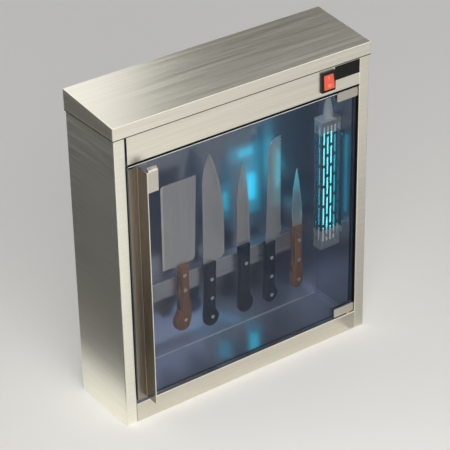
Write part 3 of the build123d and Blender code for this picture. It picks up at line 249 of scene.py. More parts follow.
def calculate(tree, operation, *values):
    """What a Math node makes of its values."""
    made = add_node(tree, "ShaderNodeMath", [("operation", operation)])
    for socket, value in zip(made.inputs, values):
        set_input(socket, value)
    return made.outputs[0]


def object_place(tree, scale=(1.0, 1.0, 1.0)):
    """Object coordinates, scaled."""
    place = add_node(tree, "ShaderNodeTexCoord").outputs["Object"]
    return add_node(tree, "ShaderNodeMapping", Vector=place, Scale=scale).outputs["Vector"]


def noise(tree, scale, detail, roughness=0.5, stretch=(1.0, 1.0, 1.0)):
    """Fractal noise between 0 and 1, with a stretch of its own along each axis."""
    place = object_place(tree, stretch)
    made = add_node(
        tree, "ShaderNodeTexNoise", Vector=place, Scale=scale, Detail=detail, Roughness=roughness
    )
    return made.outputs["Fac"]


def spread(tree, value, low, high, start=0.3, end=0.7):
    """Maps a value from start..end onto low..high."""
    made = add_node(
        tree, "ShaderNodeMapRange", Value=value, From_Min=start, From_Max=end, To_Min=low, To_Max=high
    )
    return made.outputs["Result"]


def blend_colours(tree, share, one, two):
    """One colour at a share of 0, the other at 1."""
    made = add_node(tree, "ShaderNodeMix", [("data_type", "RGBA")])
    for place, value in ((0, share), (6, one), (7, two)):
        set_input(made.inputs[place], value)
    return made.outputs[2]


def blend_values(tree, share, one, two):
    """One value at a share of 0, the other at 1."""
    made = add_node(tree, "ShaderNodeMix")
    for place, value in ((0, share), (2, one), (3, two)):
        set_input(made.inputs[place], value)
    return made.outputs[0]


def shade(colour, factor):
    """A colour made lighter or darker."""
    return tuple(min(1.0, channel * factor) for channel in tuple(colour)[:3])


def mottled(tree, pattern, colour, variation):
    """A colour that a pattern makes a little darker and lighter."""
    share = spread(tree, pattern, 0.0, 1.0)
    return blend_colours(tree, share, shade(colour, 1 - variation), shade(colour, 1 + variation))


def relief(tree, shader, height, strength, distance=0.0002, edge=0.0):
    """Bump from a height, over edges that shade as if rounded where an edge radius is given."""
    bump = add_node(tree, "ShaderNodeBump", Height=height, Strength=strength, Distance=distance)
    if edge:
        rounded = add_node(tree, "ShaderNodeBevel", [("samples", 6)], Radius=edge)
        set_inputs(bump, Normal=rounded.outputs["Normal"])
    set_inputs(shader, Normal=bump.outputs["Normal"])


def seen_directly(tree):
    """1 for rays from the camera, from metal or through glass, and 0 for rays that only bring light."""
    path = add_node(tree, "ShaderNodeLightPath").outputs
    seen = calculate(tree, "MAXIMUM", path["Is Camera Ray"], path["Is Glossy Ray"])
    return calculate(tree, "MAXIMUM", seen, path["Is Transmission Ray"])


def leans_sideways(tree, limit, normal="Normal"):
    """1 where the surface looks along X, either way, by more than a limit, and 0 elsewhere."""
    looks = add_node(tree, "ShaderNodeNewGeometry").outputs[normal]
    across = add_node(tree, "ShaderNodeSeparateXYZ", Vector=looks).outputs["X"]
    return calculate(tree, "GREATER_THAN", calculate(tree, "ABSOLUTE", across), limit)


def within(tree, bounds):
    """1 where the object coordinates lie between the given limits on each named axis, and 0 elsewhere."""
    place = add_node(tree, "ShaderNodeSeparateXYZ", Vector=object_place(tree)).outputs
    share = 1.0
    for axis, (low, high) in bounds.items():
        between = calculate(tree, "COMPARE", place[axis], (low + high) / 2, (high - low) / 2)
        share = calculate(tree, "MULTIPLY", between, share)
    return share


def new_finish(name):
    """A new material: the material, its node tree and its Principled shader."""
    material = bpy.data.materials.new(name)
    material.use_nodes = True
    return material, material.node_tree, material.node_tree.nodes["Principled BSDF"]


def brushed_finish(
    name, colour, roughness, along="around", variation=0.07, strength=0.08, fine=1.0, edge=0.0,
    regions=(), grain=0.055, metallic=1.0,
):
    """Brushed steel: noise drawn out along the grain drives colour, roughness and bump.

    Grain that runs around a folded panel lies along X on faces that look forward or up and along Y on
    faces that look sideways. Upright grain lies along Z. Each region is a pair: its limits on the axes,
    and the colour that it takes.
    """
    material, tree, shader = new_finish(name)

    def drawn_out(*stretch):
        """Fine noise, stretched."""
        return noise(tree, 1.0, detail=6.0, roughness=0.62, stretch=stretch)

    # The stretch along the grain and across it.
    lengthwise, thin = 4.0, 260.0 * fine
    if along == "upright":
        streaks = drawn_out(thin, thin, lengthwise)
    else:
        forward, sideways = drawn_out(lengthwise, thin, thin), drawn_out(thin, lengthwise, thin)
        streaks = blend_values(tree, leans_sideways(tree, limit=0.5), forward, sideways)
    clouds = noise(tree, 5.0, detail=2.0)
    tint = mottled(tree, streaks, colour, variation)
    tint = blend_colours(tree, spread(tree, clouds, 0.0, 0.10), tint, shade(colour, 0.8))
    for bounds, region_colour in regions:
        tint = blend_colours(tree, within(tree, bounds), tint, region_colour)
    gloss = spread(tree, streaks, roughness - grain, roughness + grain)
    set_inputs(shader, Base_Color=tint, Roughness=gloss, Metallic=metallic)
    relief(tree, shader, streaks, strength, edge=edge)
    return material


def painted_bevel_highlights(material, colour):
    """Gives faces that lean sideways, such as a blade's ground bevel, a brighter colour than the flats: a
    painted highlight.
    """
    tree = material.node_tree
    base = tree.nodes["Principled BSDF"].inputs["Base Color"]
    flat = base.links[0].from_socket
    leaning = leans_sideways(tree, limit=0.08, normal="True Normal")
    tree.links.new(blend_colours(tree, leaning, flat, colour), base)


def metal_finish(name, colour, roughness, variation=0.05, metallic=1.0):
    """Plain worked metal with faint blotches."""
    material, tree, shader = new_finish(name)
    blotches = noise(tree, 160.0, detail=4.0)
    tint = mottled(tree, blotches, colour, variation)
    gloss = spread(tree, blotches, roughness - 0.04, roughness + 0.05)
    set_inputs(shader, Base_Color=tint, Roughness=gloss, Metallic=metallic)
    relief(tree, shader, blotches, strength=0.04)
    return material


def moulded_finish(name, colour, roughness, grain_scale=900.0, strength=0.12, sheen=0.5):
    """Moulded plastic, rubber or paint: a fine pebbled skin over a slightly uneven colour."""
    material, tree, shader = new_finish(name)
    pebbles = noise(tree, grain_scale, detail=3.0)
    clouds = noise(tree, 40.0, detail=2.0)
    tint = mottled(tree, clouds, colour, variation=0.08)
    gloss = spread(tree, pebbles, roughness - 0.05, roughness + 0.05)
    set_inputs(shader, Base_Color=tint, Roughness=gloss, Specular_IOR_Level=sheen)
    relief(tree, shader, pebbles, strength, distance=0.00015)
    return material


def wood_finish(name, dark, light):
    """Oiled hardwood: rings drawn out along the grip, with fine dark pores."""
    material, tree, shader = new_finish(name)
    drift = noise(tree, 1.0, detail=3.0, stretch=(30.0, 30.0, 5.0))
    rings = add_node(
        tree, "ShaderNodeTexWave", [("bands_direction", "X")],
        Vector=object_place(tree, (1.0, 1.0, 0.06)), Scale=95.0, Distortion=5.0, Detail=3.0, Detail_Scale=1.6,
    ).outputs["Fac"]
    pores = noise(tree, 1.0, detail=4.0, roughness=0.7, stretch=(1400.0, 1400.0, 45.0))
    tint = blend_colours(tree, rings, dark, light)
    tint = blend_colours(tree, spread(tree, drift, 0.0, 0.5), tint, shade(light, 1.15))
    tint = blend_colours(tree, spread(tree, pores, 0.0, 0.55, start=0.56, end=0.70), tint, shade(dark, 0.35))
    gloss = spread(tree, pores, 0.34, 0.52)
    set_inputs(shader, Base_Color=tint, Roughness=gloss, Coat_Weight=0.15)
    relief(tree, shader, pores, strength=0.18)
    return material


def smoked_glass_finish(settings):
    """Smoked glass: each face holds back a share of the light and mirrors the room."""
    material, tree, shader = new_finish("smoked_glass")
    haze = noise(tree, 3.0, detail=2.0)
    tint = mottled(tree, haze, settings.smoke, variation=0.15)
    set_inputs(
        shader, Base_Color=tint, Roughness=spread(tree, haze, 0.025, 0.05),
        Specular_IOR_Level=0.65, Alpha=settings.density,
    )
    return material


def glowing_finish(name, colour, glow, strength, roughness=0.2, alpha=1.0):
    """A surface that glows, a little uneven along its length: a lamp's own light, or painted light on parts
    that are no lamp.
    """
    material, tree, shader = new_finish(name)
    waver = noise(tree, 30.0, detail=2.0)
    tint = blend_colours(tree, spread(tree, waver, 0.0, 1.0), shade(colour, 0.92), colour)
    set_inputs(
        shader, Base_Color=tint, Roughness=spread(tree, waver, roughness, roughness + 0.08),
        Emission_Color=glow, Emission_Strength=strength, Alpha=alpha,
    )
    return material


def dress(material, *names):
    """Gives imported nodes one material."""
    for name in names:
        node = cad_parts[name]
        node.data.materials.clear()
        node.data.materials.append(material)


def dress_each(make_finish, finishes):
    """Makes plain finishes from their colour and roughness, and gives each to the nodes listed with it."""
    for name, (colour, roughness, *nodes) in finishes.items():
        dress(make_finish(name, colour, roughness), *nodes)


def grid_mesh(name, points, around=True, caps=True):
    """A mesh over a grid of points: rows run along the first axis, and close on themselves if around.

    Each quad joins a point to the next in its row and in the next row. A cap is one face over an end row.
    """
    rows, columns = points.shape[:2]
    index = np.arange(rows * columns).reshape(rows, columns)
    following = np.roll(index, -1, axis=1) if around else index[:, 1:]
    start = index if around else index[:, :-1]
    quads = np.stack([start[:-1], following[:-1], following[1:], start[1:]], axis=-1)
    faces = quads.reshape(-1, 4).tolist()
    if caps:
        faces += [index[0, ::-1].tolist(), index[-1].tolist()]
    mesh = bpy.data.meshes.new(name)
    mesh.from_pydata(points.reshape(-1, 3).tolist(), [], faces)
    return mesh


def quad_mesh(name, low, high):
    """One flat quad between two opposite corners."""
    corners = [[(x, *side) for x in (low[0], high[0])] for side in (low[1:], high[1:])]
    return grid_mesh(name, np.array(corners), around=False, caps=False)


def squared_circle(count, power):
    """Cosine and sine round a circle, each raised to a power with its sign kept, which squares it."""
    angle = np.linspace(0.0, 2 * np.pi, count, endpoint=False)
    return [np.sign(wave) * np.abs(wave) ** power for wave in (np.cos(angle), np.sin(angle))]


def outward(mesh):
    """Merges the points of closed ends and turns every face outwards."""
    shell = bmesh.new()
    shell.from_mesh(mesh)
    bmesh.ops.remove_doubles(shell, verts=shell.verts, dist=1e-6)
    bmesh.ops.recalc_face_normals(shell, faces=shell.faces)
    if shell.calc_volume(signed=True) < 0:
        bmesh.ops.reverse_faces(shell, faces=shell.faces)
    shell.to_mesh(mesh)
    shell.free()
    return mesh


def add_object(name, data):
    """Puts a mesh, a lamp or a camera into the scene."""
    made = bpy.data.objects.new(name, data)
    bpy.context.scene.collection.objects.link(made)
    return made


def place_piece(name, mesh, material, body, slot, *replaced, smooth=40.0):
    """Puts a finished mesh into the scene as a piece that rides on a body."""
    mesh.materials.append(material)
    piece = add_object(name, mesh)
    mesh.shade_smooth()
    mesh.set_sharp_from_angle(angle=radians(smooth))
    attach(piece, body)
    if replaced:
        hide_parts(*replaced)
    return piece


def joined(name, meshes):
    """Several meshes as one."""
    whole = bmesh.new()
    for mesh in meshes:
        whole.from_mesh(mesh)
    made = bpy.data.meshes.new(name)
    whole.to_mesh(made)
    whole.free()
    return made


def smooth_line(points, count):
    """A smooth line through points, evenly stepped: cubic spans whose slopes come from the neighbours."""
    points = np.array(points, float)
    along = np.r_[0.0, np.cumsum(np.linalg.norm(np.diff(points, axis=0), axis=1))]
    if len(points) == 2:
        slopes = np.repeat(np.diff(points, axis=0) / along[-1], 2, axis=0)
    else:
        slopes = np.gradient(points, along, axis=0, edge_order=2)
    steps = np.linspace(0.0, along[-1], count)
    span = np.clip(np.searchsorted(along, steps, side="right") - 1, 0, len(along) - 2)
    width = (along[span + 1] - along[span])[:, None]
    t = ((steps - along[span])[:, None]) / width
    return (
        (2 * t**3 - 3 * t**2 + 1) * points[span]
        + (t**3 - 2 * t**2 + t) * width * slopes[span]
        + (3 * t**2 - 2 * t**3) * points[span + 1]
        + (t**3 - t**2) * width * slopes[span + 1]
    )


def level_line(stretches, levels):
    """How far across an outline lies at each level: its smooth stretches read at their heights."""
    outline = np.concatenate([smooth_line(stretch, 60) for stretch in stretches])
    order = np.argsort(outline[:, 1], kind="stable")
    return np.interp(levels, outline[order, 1], outline[order, 0])


def blade_mesh(name, knife, settings, knife_y):
    """A blade as a loft from the guard to the tip.

    At each level a closed ring runs from the spine to the edge and back. Its half thickness falls evenly
    from the spine to the bevel's start, then faster along the bevel to the edge. Scallops move the edge
    in and out as a cosine.
    """
    x, guard = knife["place"]
    top = max(point[1] for stretch in knife["spine"] + knife["edge"] for point in stretch)
    step = 0.45 if knife.get("serrated") else 1.6
    levels = np.linspace(0.0, top, int(top / step))
    spine = level_line(knife["spine"], levels)
    edge = level_line(knife["edge"], levels)
    scallops = 0.0 * levels
    if knife.get("serrated"):
        pitch, hollow, start = 7.4, 4.4, 26.0
        wave = hollow / 2 * (1 - np.cos(2 * np.pi * (levels - start) / pitch))
        scallops = np.where(levels > start, wave, 0.0)
    across = edge - spine
    bevel = np.minimum(settings.bevel / MM, 0.45 * np.abs(across)) * np.sign(across)
    thick = settings.blade_thickness / MM / 2
    # Each line up the blade, and how much of the half thickness is there.
    lines = [(spine, 0.96), (spine + across * 0.5, 0.9), (edge - bevel, 0.72), (edge - scallops, 0.08)]
    ring = []
    for side, profile in ((-1, lines), (1, lines[::-1])):
        for line, height in profile:
            ring.append((line, side * thick * height))
    points = np.empty((len(levels), len(ring), 3))
    for column, (line, y) in enumerate(ring):
        points[:, column, 0] = x + line
        points[:, column, 1] = knife_y / MM + y
        points[:, column, 2] = guard + levels
    return outward(grid_mesh(name, points * MM))


def grip_mesh(name, knife, settings, knife_y):
    """A grip as a loft down its two sides: each section is a squared circle between them.

    The thickness closes towards the butt as a quarter ellipse.
    """
    x, guard = knife["place"]
    count = 90
    sides = [smooth_line(knife[side], count) for side in ("grip_edge", "grip_spine")]
    middle = (sides[0] + sides[1]) / 2
    half = (sides[1] - sides[0]) / 2
    closing_start, closing_depth, guard_end, squareness = 0.90, 0.55, 0.97, 3.6
    share = np.linspace(0.0, 1.0, count)
    closing = np.clip((share - closing_start) / (1 - closing_start), 0.0, 1.0)
    thick = settings.grip_thickness / MM / 2 * np.sqrt(1 - closing_depth * closing**2)
    thick[:2] *= guard_end
    out, up = squared_circle(40, 2 / squareness)
    points = np.empty((count, len(out), 3))
    points[:, :, 0] = x + middle[:, :1] + half[:, :1] * out
    points[:, :, 1] = knife_y / MM + thick[:, None] * up
    points[:, :, 2] = guard + middle[:, 1:] + half[:, 1:] * out
    return outward(grid_mesh(name, points * MM))


def rivet_mesh(name, knife, settings, knife_y):
    """The grip's rivets, each turned about its axis: a shank, domed in front and nearly flush at the back.

    The radius follows a quarter circle over the dome's height.
    """
    x, guard = knife["place"]
    across, levels = knife["rivets"]
    radius, front_dome, back_dome, sunk = 3.9, 1.0, 0.3, 0.1
    turn = np.linspace(0.0, np.pi / 2, 6)
    back = turn[::-1]
    reach = settings.grip_thickness / MM / 2 - sunk
    profile_r = radius * np.sin(np.r_[turn, back])
    profile_y = np.r_[-reach - front_dome * np.cos(turn), reach + back_dome * np.cos(back)]
    angle = np.linspace(0.0, 2 * np.pi, 28, endpoint=False)
    meshes = []
    for level in levels:
        points = np.empty((len(profile_r), len(angle), 3))
        points[:, :, 0] = x + across + profile_r[:, None] * np.cos(angle)
        points[:, :, 1] = knife_y / MM + profile_y[:, None]
        points[:, :, 2] = guard + level + profile_r[:, None] * np.sin(angle)
        meshes.append(outward(grid_mesh(name, points * MM, caps=False)))
    return joined(name, meshes)


def add_strip(name, low, high, strip_black, body, axis=0):
    """A black strip along one axis between two corners, as painted shadow in a gap: its section is a squared
    circle.
    """
    low, high = np.array(low), np.array(high)
    middle, half = (low + high) / 2, (high - low) / 2
    one, other = [number for number in range(3) if number != axis]
    across, up = squared_circle(32, 0.25)
    points = np.empty((2, len(across), 3))
    points[:, :, axis] = np.array([low[axis], high[axis]])[:, None]
    points[:, :, one] = middle[one] + half[one] * across
    points[:, :, other] = middle[other] + half[other] * up
    place_piece(name, outward(grid_mesh(name, points)), strip_black, body, "lining_rubber")


def pane_outline(low, high, corner, y, lift):
    """A rounded rectangle in X and Z at one depth: straight sides between four quarter circles."""
    turn = np.linspace(0.0, np.pi / 2, 7)
    radius = corner + lift
    arcs = []
    for quarter, (x, z) in enumerate(
        ((high[0], high[2]), (low[0], high[2]), (low[0], low[2]), (high[0], low[2]))
    ):
        centre_x = x - corner * (1 if quarter in (0, 3) else -1)
        centre_z = z - corner * (1 if quarter in (0, 1) else -1)
        angle = turn + quarter * np.pi / 2
        depth = np.full(len(angle), y)
        arcs.append(np.c_[centre_x + radius * np.cos(angle), depth, centre_z + radius * np.sin(angle)])
    return np.concatenate(arcs)


def band_mesh(name, low, high, front, back, corner, lift):
    """A closed band round an upright pane: its lifted outline drawn to the back and returned inside."""
    wall = 0.15 * MM
    section = ((front, lift), (back, lift), (back, lift - wall), (front, lift - wall), (front, lift))
    rows = [pane_outline(low, high, corner, y, rise) for y, rise in section]
    return outward(grid_mesh(name, np.stack(rows), caps=False))


def tube_mesh(name, path, radius, sides, closed=False):
    """A round bead along a flat path in the XZ plane, its ring square to the path at each point."""
    path = np.array(path, float)
    ahead = np.roll(path, -1, axis=0) - np.roll(path, 1, axis=0) if closed else np.gradient(path, axis=0)
    ahead /= np.linalg.norm(ahead, axis=1, keepdims=True)
    out = np.stack([ahead[:, 2], np.zeros(len(path)), -ahead[:, 0]], axis=1)
    angle = np.linspace(0.0, 2 * np.pi, sides, endpoint=False)
    ring = (
        out[:, None, :] * np.cos(angle)[None, :, None]
        + np.array([0.0, 1.0, 0.0]) * np.sin(angle)[None, :, None]
    )
    points = path[:, None, :] + radius * ring
    if closed:
        points = np.concatenate([points, points[:1]])
    return outward(grid_mesh(name, points, caps=not closed))


def add_bead(name, start, end, radius, material, body, slot, sides=8, steps=24):
    """A straight round bead between two points."""
    mesh = tube_mesh(name, np.linspace(start, end, steps), radius, sides)
    place_piece(name, mesh, material, body, slot)


class CABINET_OT_body(Operator):
    """Finish the sheet-metal body"""

    bl_idname = "cabinet.body"
    bl_label = "Body"

    def execute(self, context):
        steel = context.scene.cabinet_steel
        bend, wall, flange_back = 0.9 * MM, 1.2 * MM, -71 * MM
        inner_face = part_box("right_side_panel")[1][0] - wall
        back_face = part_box("back_panel")[0][1]
        inside = {"X": (-inner_face, inner_face), "Y": (flange_back, back_face + 0.3 * MM)}
        # Painted light and shade on copies of one sheet finish: the left panel's outside lighter, the floor
        # pan's outside darker, and the right panel's and floor pan's insides darker.
        painted_light_tones = {
            "left_side_panel": (1.06, 1.0),
            "right_side_panel": (1.0, 0.6),
            "fascia": (1.0, 1.0),
            "floor_pan": (0.80, 0.92),
        }
        for node, (outside_light_and_shade, inside_painted_shade) in painted_light_tones.items():
            sheet = brushed_finish(
                f"brushed_{node}", shade(steel.panel, outside_light_and_shade), steel.roughness, edge=bend,
                regions=[(inside, shade(steel.inner, inside_painted_shade))],
            )
            dress(sheet, node)
        # Painted shadow: a near-black band round the foot of the lid's skirt, where the seam's gap is in shade.
        skirt_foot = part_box("top_lid")[0][2]
        painted_seam_shadow = {"Z": (skirt_foot - MM, skirt_foot + 1.7 * MM)}
        lid = brushed_finish(
            "brushed_lid", steel.panel, steel.roughness, edge=bend, regions=[(painted_seam_shadow, shade(steel.panel, 0.08))]
        )
        dress(lid, "top_lid")
        rear = {"Y": (back_face + 0.6 * MM, 1.0)}
        bright = brushed_finish(
            "bright_inner_sheet", steel.inner, 0.29, variation=0.02, strength=0.004, fine=2.0, grain=0.015,
            regions=[(rear, shade(steel.panel, 0.8))],
        )
        dress(bright, "back_panel", "compartment_shelf")
        self.add_shadow_strip_and_bead()
        dress(metal_finish("fastener_steel", (0.62, 0.61, 0.58), 0.28), "pan_head_screws", "panel_rivets")
        return {"FINISHED"}

    def add_shadow_strip_and_bead(self):
        """Painted shadow as a black strip along the foot of the strip above the door, where the gap is in
        shade, and a bead in the rear floor corner.
        """
        low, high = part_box("fascia")
        # Painted shadow: a black strip where the gap above the door is in shade.
        strip_low = (low[0], low[1] - 0.5 * MM, low[2])
        strip_high = (high[0], low[1] + 0.1 * MM, low[2] + 3.6 * MM)
        strip_black = moulded_finish("gap_shadow_black", (0.006, 0.006, 0.007), 0.7, sheen=0.15)
        add_strip("door_top_shadow_strip", strip_low, strip_high, strip_black, "cabinet")
        left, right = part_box("left_side_panel")[0][0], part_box("right_side_panel")[1][0]
        radius, end_gap, height = 1.1 * MM, 6 * MM, 2.3 * MM
        corner_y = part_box("back_panel")[0][1] - radius
        start, end = (left + end_gap, corner_y, height), (right - end_gap, corner_y, height)
        sealant = moulded_finish("corner_sealant", (0.80, 0.85, 0.90), 0.35)
        add_bead("rear_corner_bead", start, end, radius, sealant, "cabinet", "white_silicone", sides=10)


class CABINET_OT_door(Operator):
    """Finish the glass door, its pull and its pivots"""

    bl_idname = "cabinet.door"
    bl_label = "Door"

    def execute(self, context):
        dress(smoked_glass_finish(context.scene.cabinet_door), "door_glass")
        self.add_glass_edge(context.scene.cabinet_door)
        self.add_pull(context.scene.cabinet_steel)
        self.add_side_shadow_strips()
        dress_each(brushed_finish, {
            # Painted shade: the top clip is a darker copy of the foot clip's satin steel.
            "satin_clip": ((0.66, 0.62, 0.55), 0.34, "top_hinge_clip"),
            "satin_foot_clip": ((0.88, 0.83, 0.74), 0.34, "bottom_hinge_clip"),
        })
        dress_each(metal_finish, {
            "turned_steel": ((0.60, 0.60, 0.60), 0.22, "hinge_pins", "clip_screws"),
            "strike_steel": ((0.50, 0.50, 0.52), 0.35, "strike_plate"),
            "turned_brass": ((0.72, 0.55, 0.28), 0.3, "hinge_bushes"),
        })
        dress_each(moulded_finish, {
            "dark_lining": ((0.035, 0.035, 0.037), 0.75, "clip_pads", "handle_tape"),
            "catch_plastic": ((0.16, 0.16, 0.17), 0.5, "catch_housing"),
            "ferrite": ((0.05, 0.05, 0.055), 0.6, "catch_magnet"),
        })
        return {"FINISHED"}

    def add_glass_edge(self, door):
        """The pane's edge: a band round it, dark as thick glass is and darkened further as painted shade, and a
        pale bead as a painted highlight along its top arris.
        """
        low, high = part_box("door_glass")
        bevel, corner, lift = 0.4 * MM, 1.5 * MM, 0.02 * MM
        band = band_mesh("door_glass_edge", low, high, low[1] + bevel, high[1] - bevel, corner, lift)
        # The glass edge's own dark tone, deepened as painted shade.
        edge_and_shade = moulded_finish("glass_edge_and_painted_shade", (0.018, 0.040, 0.045), 0.30, grain_scale=2500.0)
        place_piece("door_glass_edge", band, edge_and_shade, "door", "smoked_glass")
        # Painted highlight: a pale bead along the pane's top arris.
        highlight_finish = moulded_finish("painted_arris_highlight", door.arris_highlight_colour, 0.45, grain_scale=2500.0)
        start = (low[0] + 2 * corner, low[1] + bevel, high[2] - bevel)
        end = (high[0] - 2 * corner, low[1] + bevel, high[2] - bevel)
        add_bead("door_glass_arris_highlight", start, end, 0.65 * MM, highlight_finish, "door", "smoked_glass")

    def add_side_shadow_strips(self):
        """Black strips between the clips, as painted shadow in the shaded gap: one inside the pane's right
        edge, one on the flange beside it.
        """
        low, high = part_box("door_glass")
        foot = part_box("bottom_hinge_clip")[1][2] + 0.5 * MM
        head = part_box("top_hinge_clip")[0][2] - 0.5 * MM
        opening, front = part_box("fascia")[1][0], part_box("fascia")[0][1]
        strip_black = moulded_finish("side_gap_shadow_black", (0.006, 0.006, 0.007), 0.7, sheen=0.15)
        # Painted shadow: black strips in the shaded gap beside the pane's right edge.
        add_strip(
            "door_side_shadow_strip", (high[0] - 4.5 * MM, high[1] + 0.02 * MM, foot),
            (high[0] - 0.2 * MM, high[1] + 1.6 * MM, head), strip_black, "door", axis=2,
        )
        add_strip(
            "side_gap_shadow_strip", (opening - 2.2 * MM, front + 0.3 * MM, foot),
            (opening + 0.1 * MM, low[1] + 3 * MM, head), strip_black, "cabinet", axis=2,
        )

    def add_pull(self, steel):
        """The folded pull, dark as painted shade with streaks partly brushed and partly painted reflection, its
        flange darker as painted shade, its front bend and lip lighter and a pale bead down its inner bend as
        painted highlights.
        """
        low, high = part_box("door_handle")
        before, front_bend, lip_depth, flange_depth = low[1] - MM, 1.1 * MM, 2.2 * MM, 28 * MM
        outer = {"Y": (before, low[1] + front_bend)}
        lip = {"Y": (before, low[1] + lip_depth), "X": (low[0] + 20.8 * MM, high[0] + MM)}
        flange = {
            "Y": (low[1] + front_bend, low[1] + flange_depth),
            "X": (low[0] + 18.8 * MM, low[0] + 20.7 * MM),
        }
        # Painted shade and light: a dark base whose strong upright streaks are partly brushed grain and partly
        # painted reflection, the flange darker, the front bend and lip lighter.
        pull = brushed_finish(
            "brushed_pull", steel.handle, 0.30, "upright", edge=0.8 * MM, variation=0.25, fine=0.5,
            regions=[
                (flange, shade(steel.handle, 0.85)),
                (outer, (0.95, 0.93, 0.88)),
                (lip, (0.66, 0.63, 0.56)),
            ],
        )
        dress(pull, "door_handle")
        # Painted highlight: a pale bead down the inner bend.
        highlight_metal = metal_finish("pull_bend_painted_highlight", (0.97, 0.95, 0.92), 0.30, variation=0.02)
        bend_x, bend_y = low[0] + 20.2 * MM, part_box("door_glass")[0][1] - 2.6 * MM
        start, end = (bend_x, bend_y, low[2] + 1.5 * MM), (bend_x, bend_y, high[2] - 9 * MM)
        add_bead(
            "pull_bend_bead", start, end, 0.5 * MM, highlight_metal, "door", "handle_stainless", sides=10, steps=40
        )


class CABINET_OT_switch(Operator):
    """Finish the rocker switch, its marks and the bare name plate"""

    bl_idname = "cabinet.switch"
    bl_label = "Switch and plate"

    def execute(self, context):
        black = moulded_finish("switch_black", (0.010, 0.010, 0.010), 0.42, sheen=0.25)
        dress(black, "switch_frame", "switch_body")
        red = glowing_finish(
            "lit_red_key", (0.78, 0.12, 0.07), (1.0, 0.16, 0.08), strength=0.16, roughness=0.25
        )
        dress(red, "switch_rocker")
        dress(metal_finish("terminal_brass", (0.72, 0.56, 0.30), 0.32), "switch_terminals")
        plate = moulded_finish(
            "plate_black", (0.010, 0.009, 0.009), 0.36, grain_scale=1800.0, strength=0.05, sheen=0.2
        )
        dress(plate, "name_plate")
        self.add_marks()
        return {"FINISHED"}

    def add_marks(self):
        """A bar and a ring on the key: straight and round paths on its flat face, tilted with it."""
        low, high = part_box("switch_rocker")
        frame_low, frame_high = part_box("switch_frame")
        pivot = Vector(((low[0] + high[0]) / 2, frame_low[1] + 2.0 * MM, (frame_low[2] + frame_high[2]) / 2))
        tilt = radians(11.0)
        face = -3.2 * MM
        mark_z, bar_half, ring_radius, bead = 7.0 * MM, 2.6 * MM, 2.4 * MM, 0.38 * MM
        bar = np.linspace((0.0, face, mark_z - bar_half), (0.0, face, mark_z + bar_half), 5)
        turn = np.linspace(0.0, 2 * np.pi, 32, endpoint=False)
        ring_x, ring_z = 1.15 * ring_radius * np.cos(turn), ring_radius * np.sin(turn) - mark_z
        ring = np.c_[ring_x, np.full(32, face), ring_z]
        marks = [tube_mesh("bar", bar, bead, 8), tube_mesh("ring", ring, bead, 8, closed=True)]
        mesh = joined("switch_marks", marks)
        mesh.transform(Matrix.Translation(pivot) @ Matrix.Rotation(-tilt, 4, "X"))
        orange = glowing_finish("lit_orange_mark", (0.95, 0.45, 0.15), (1.0, 0.42, 0.12), strength=0.6)
        place_piece("switch_marks", mesh, orange, "rocker", "lit_red_plastic")


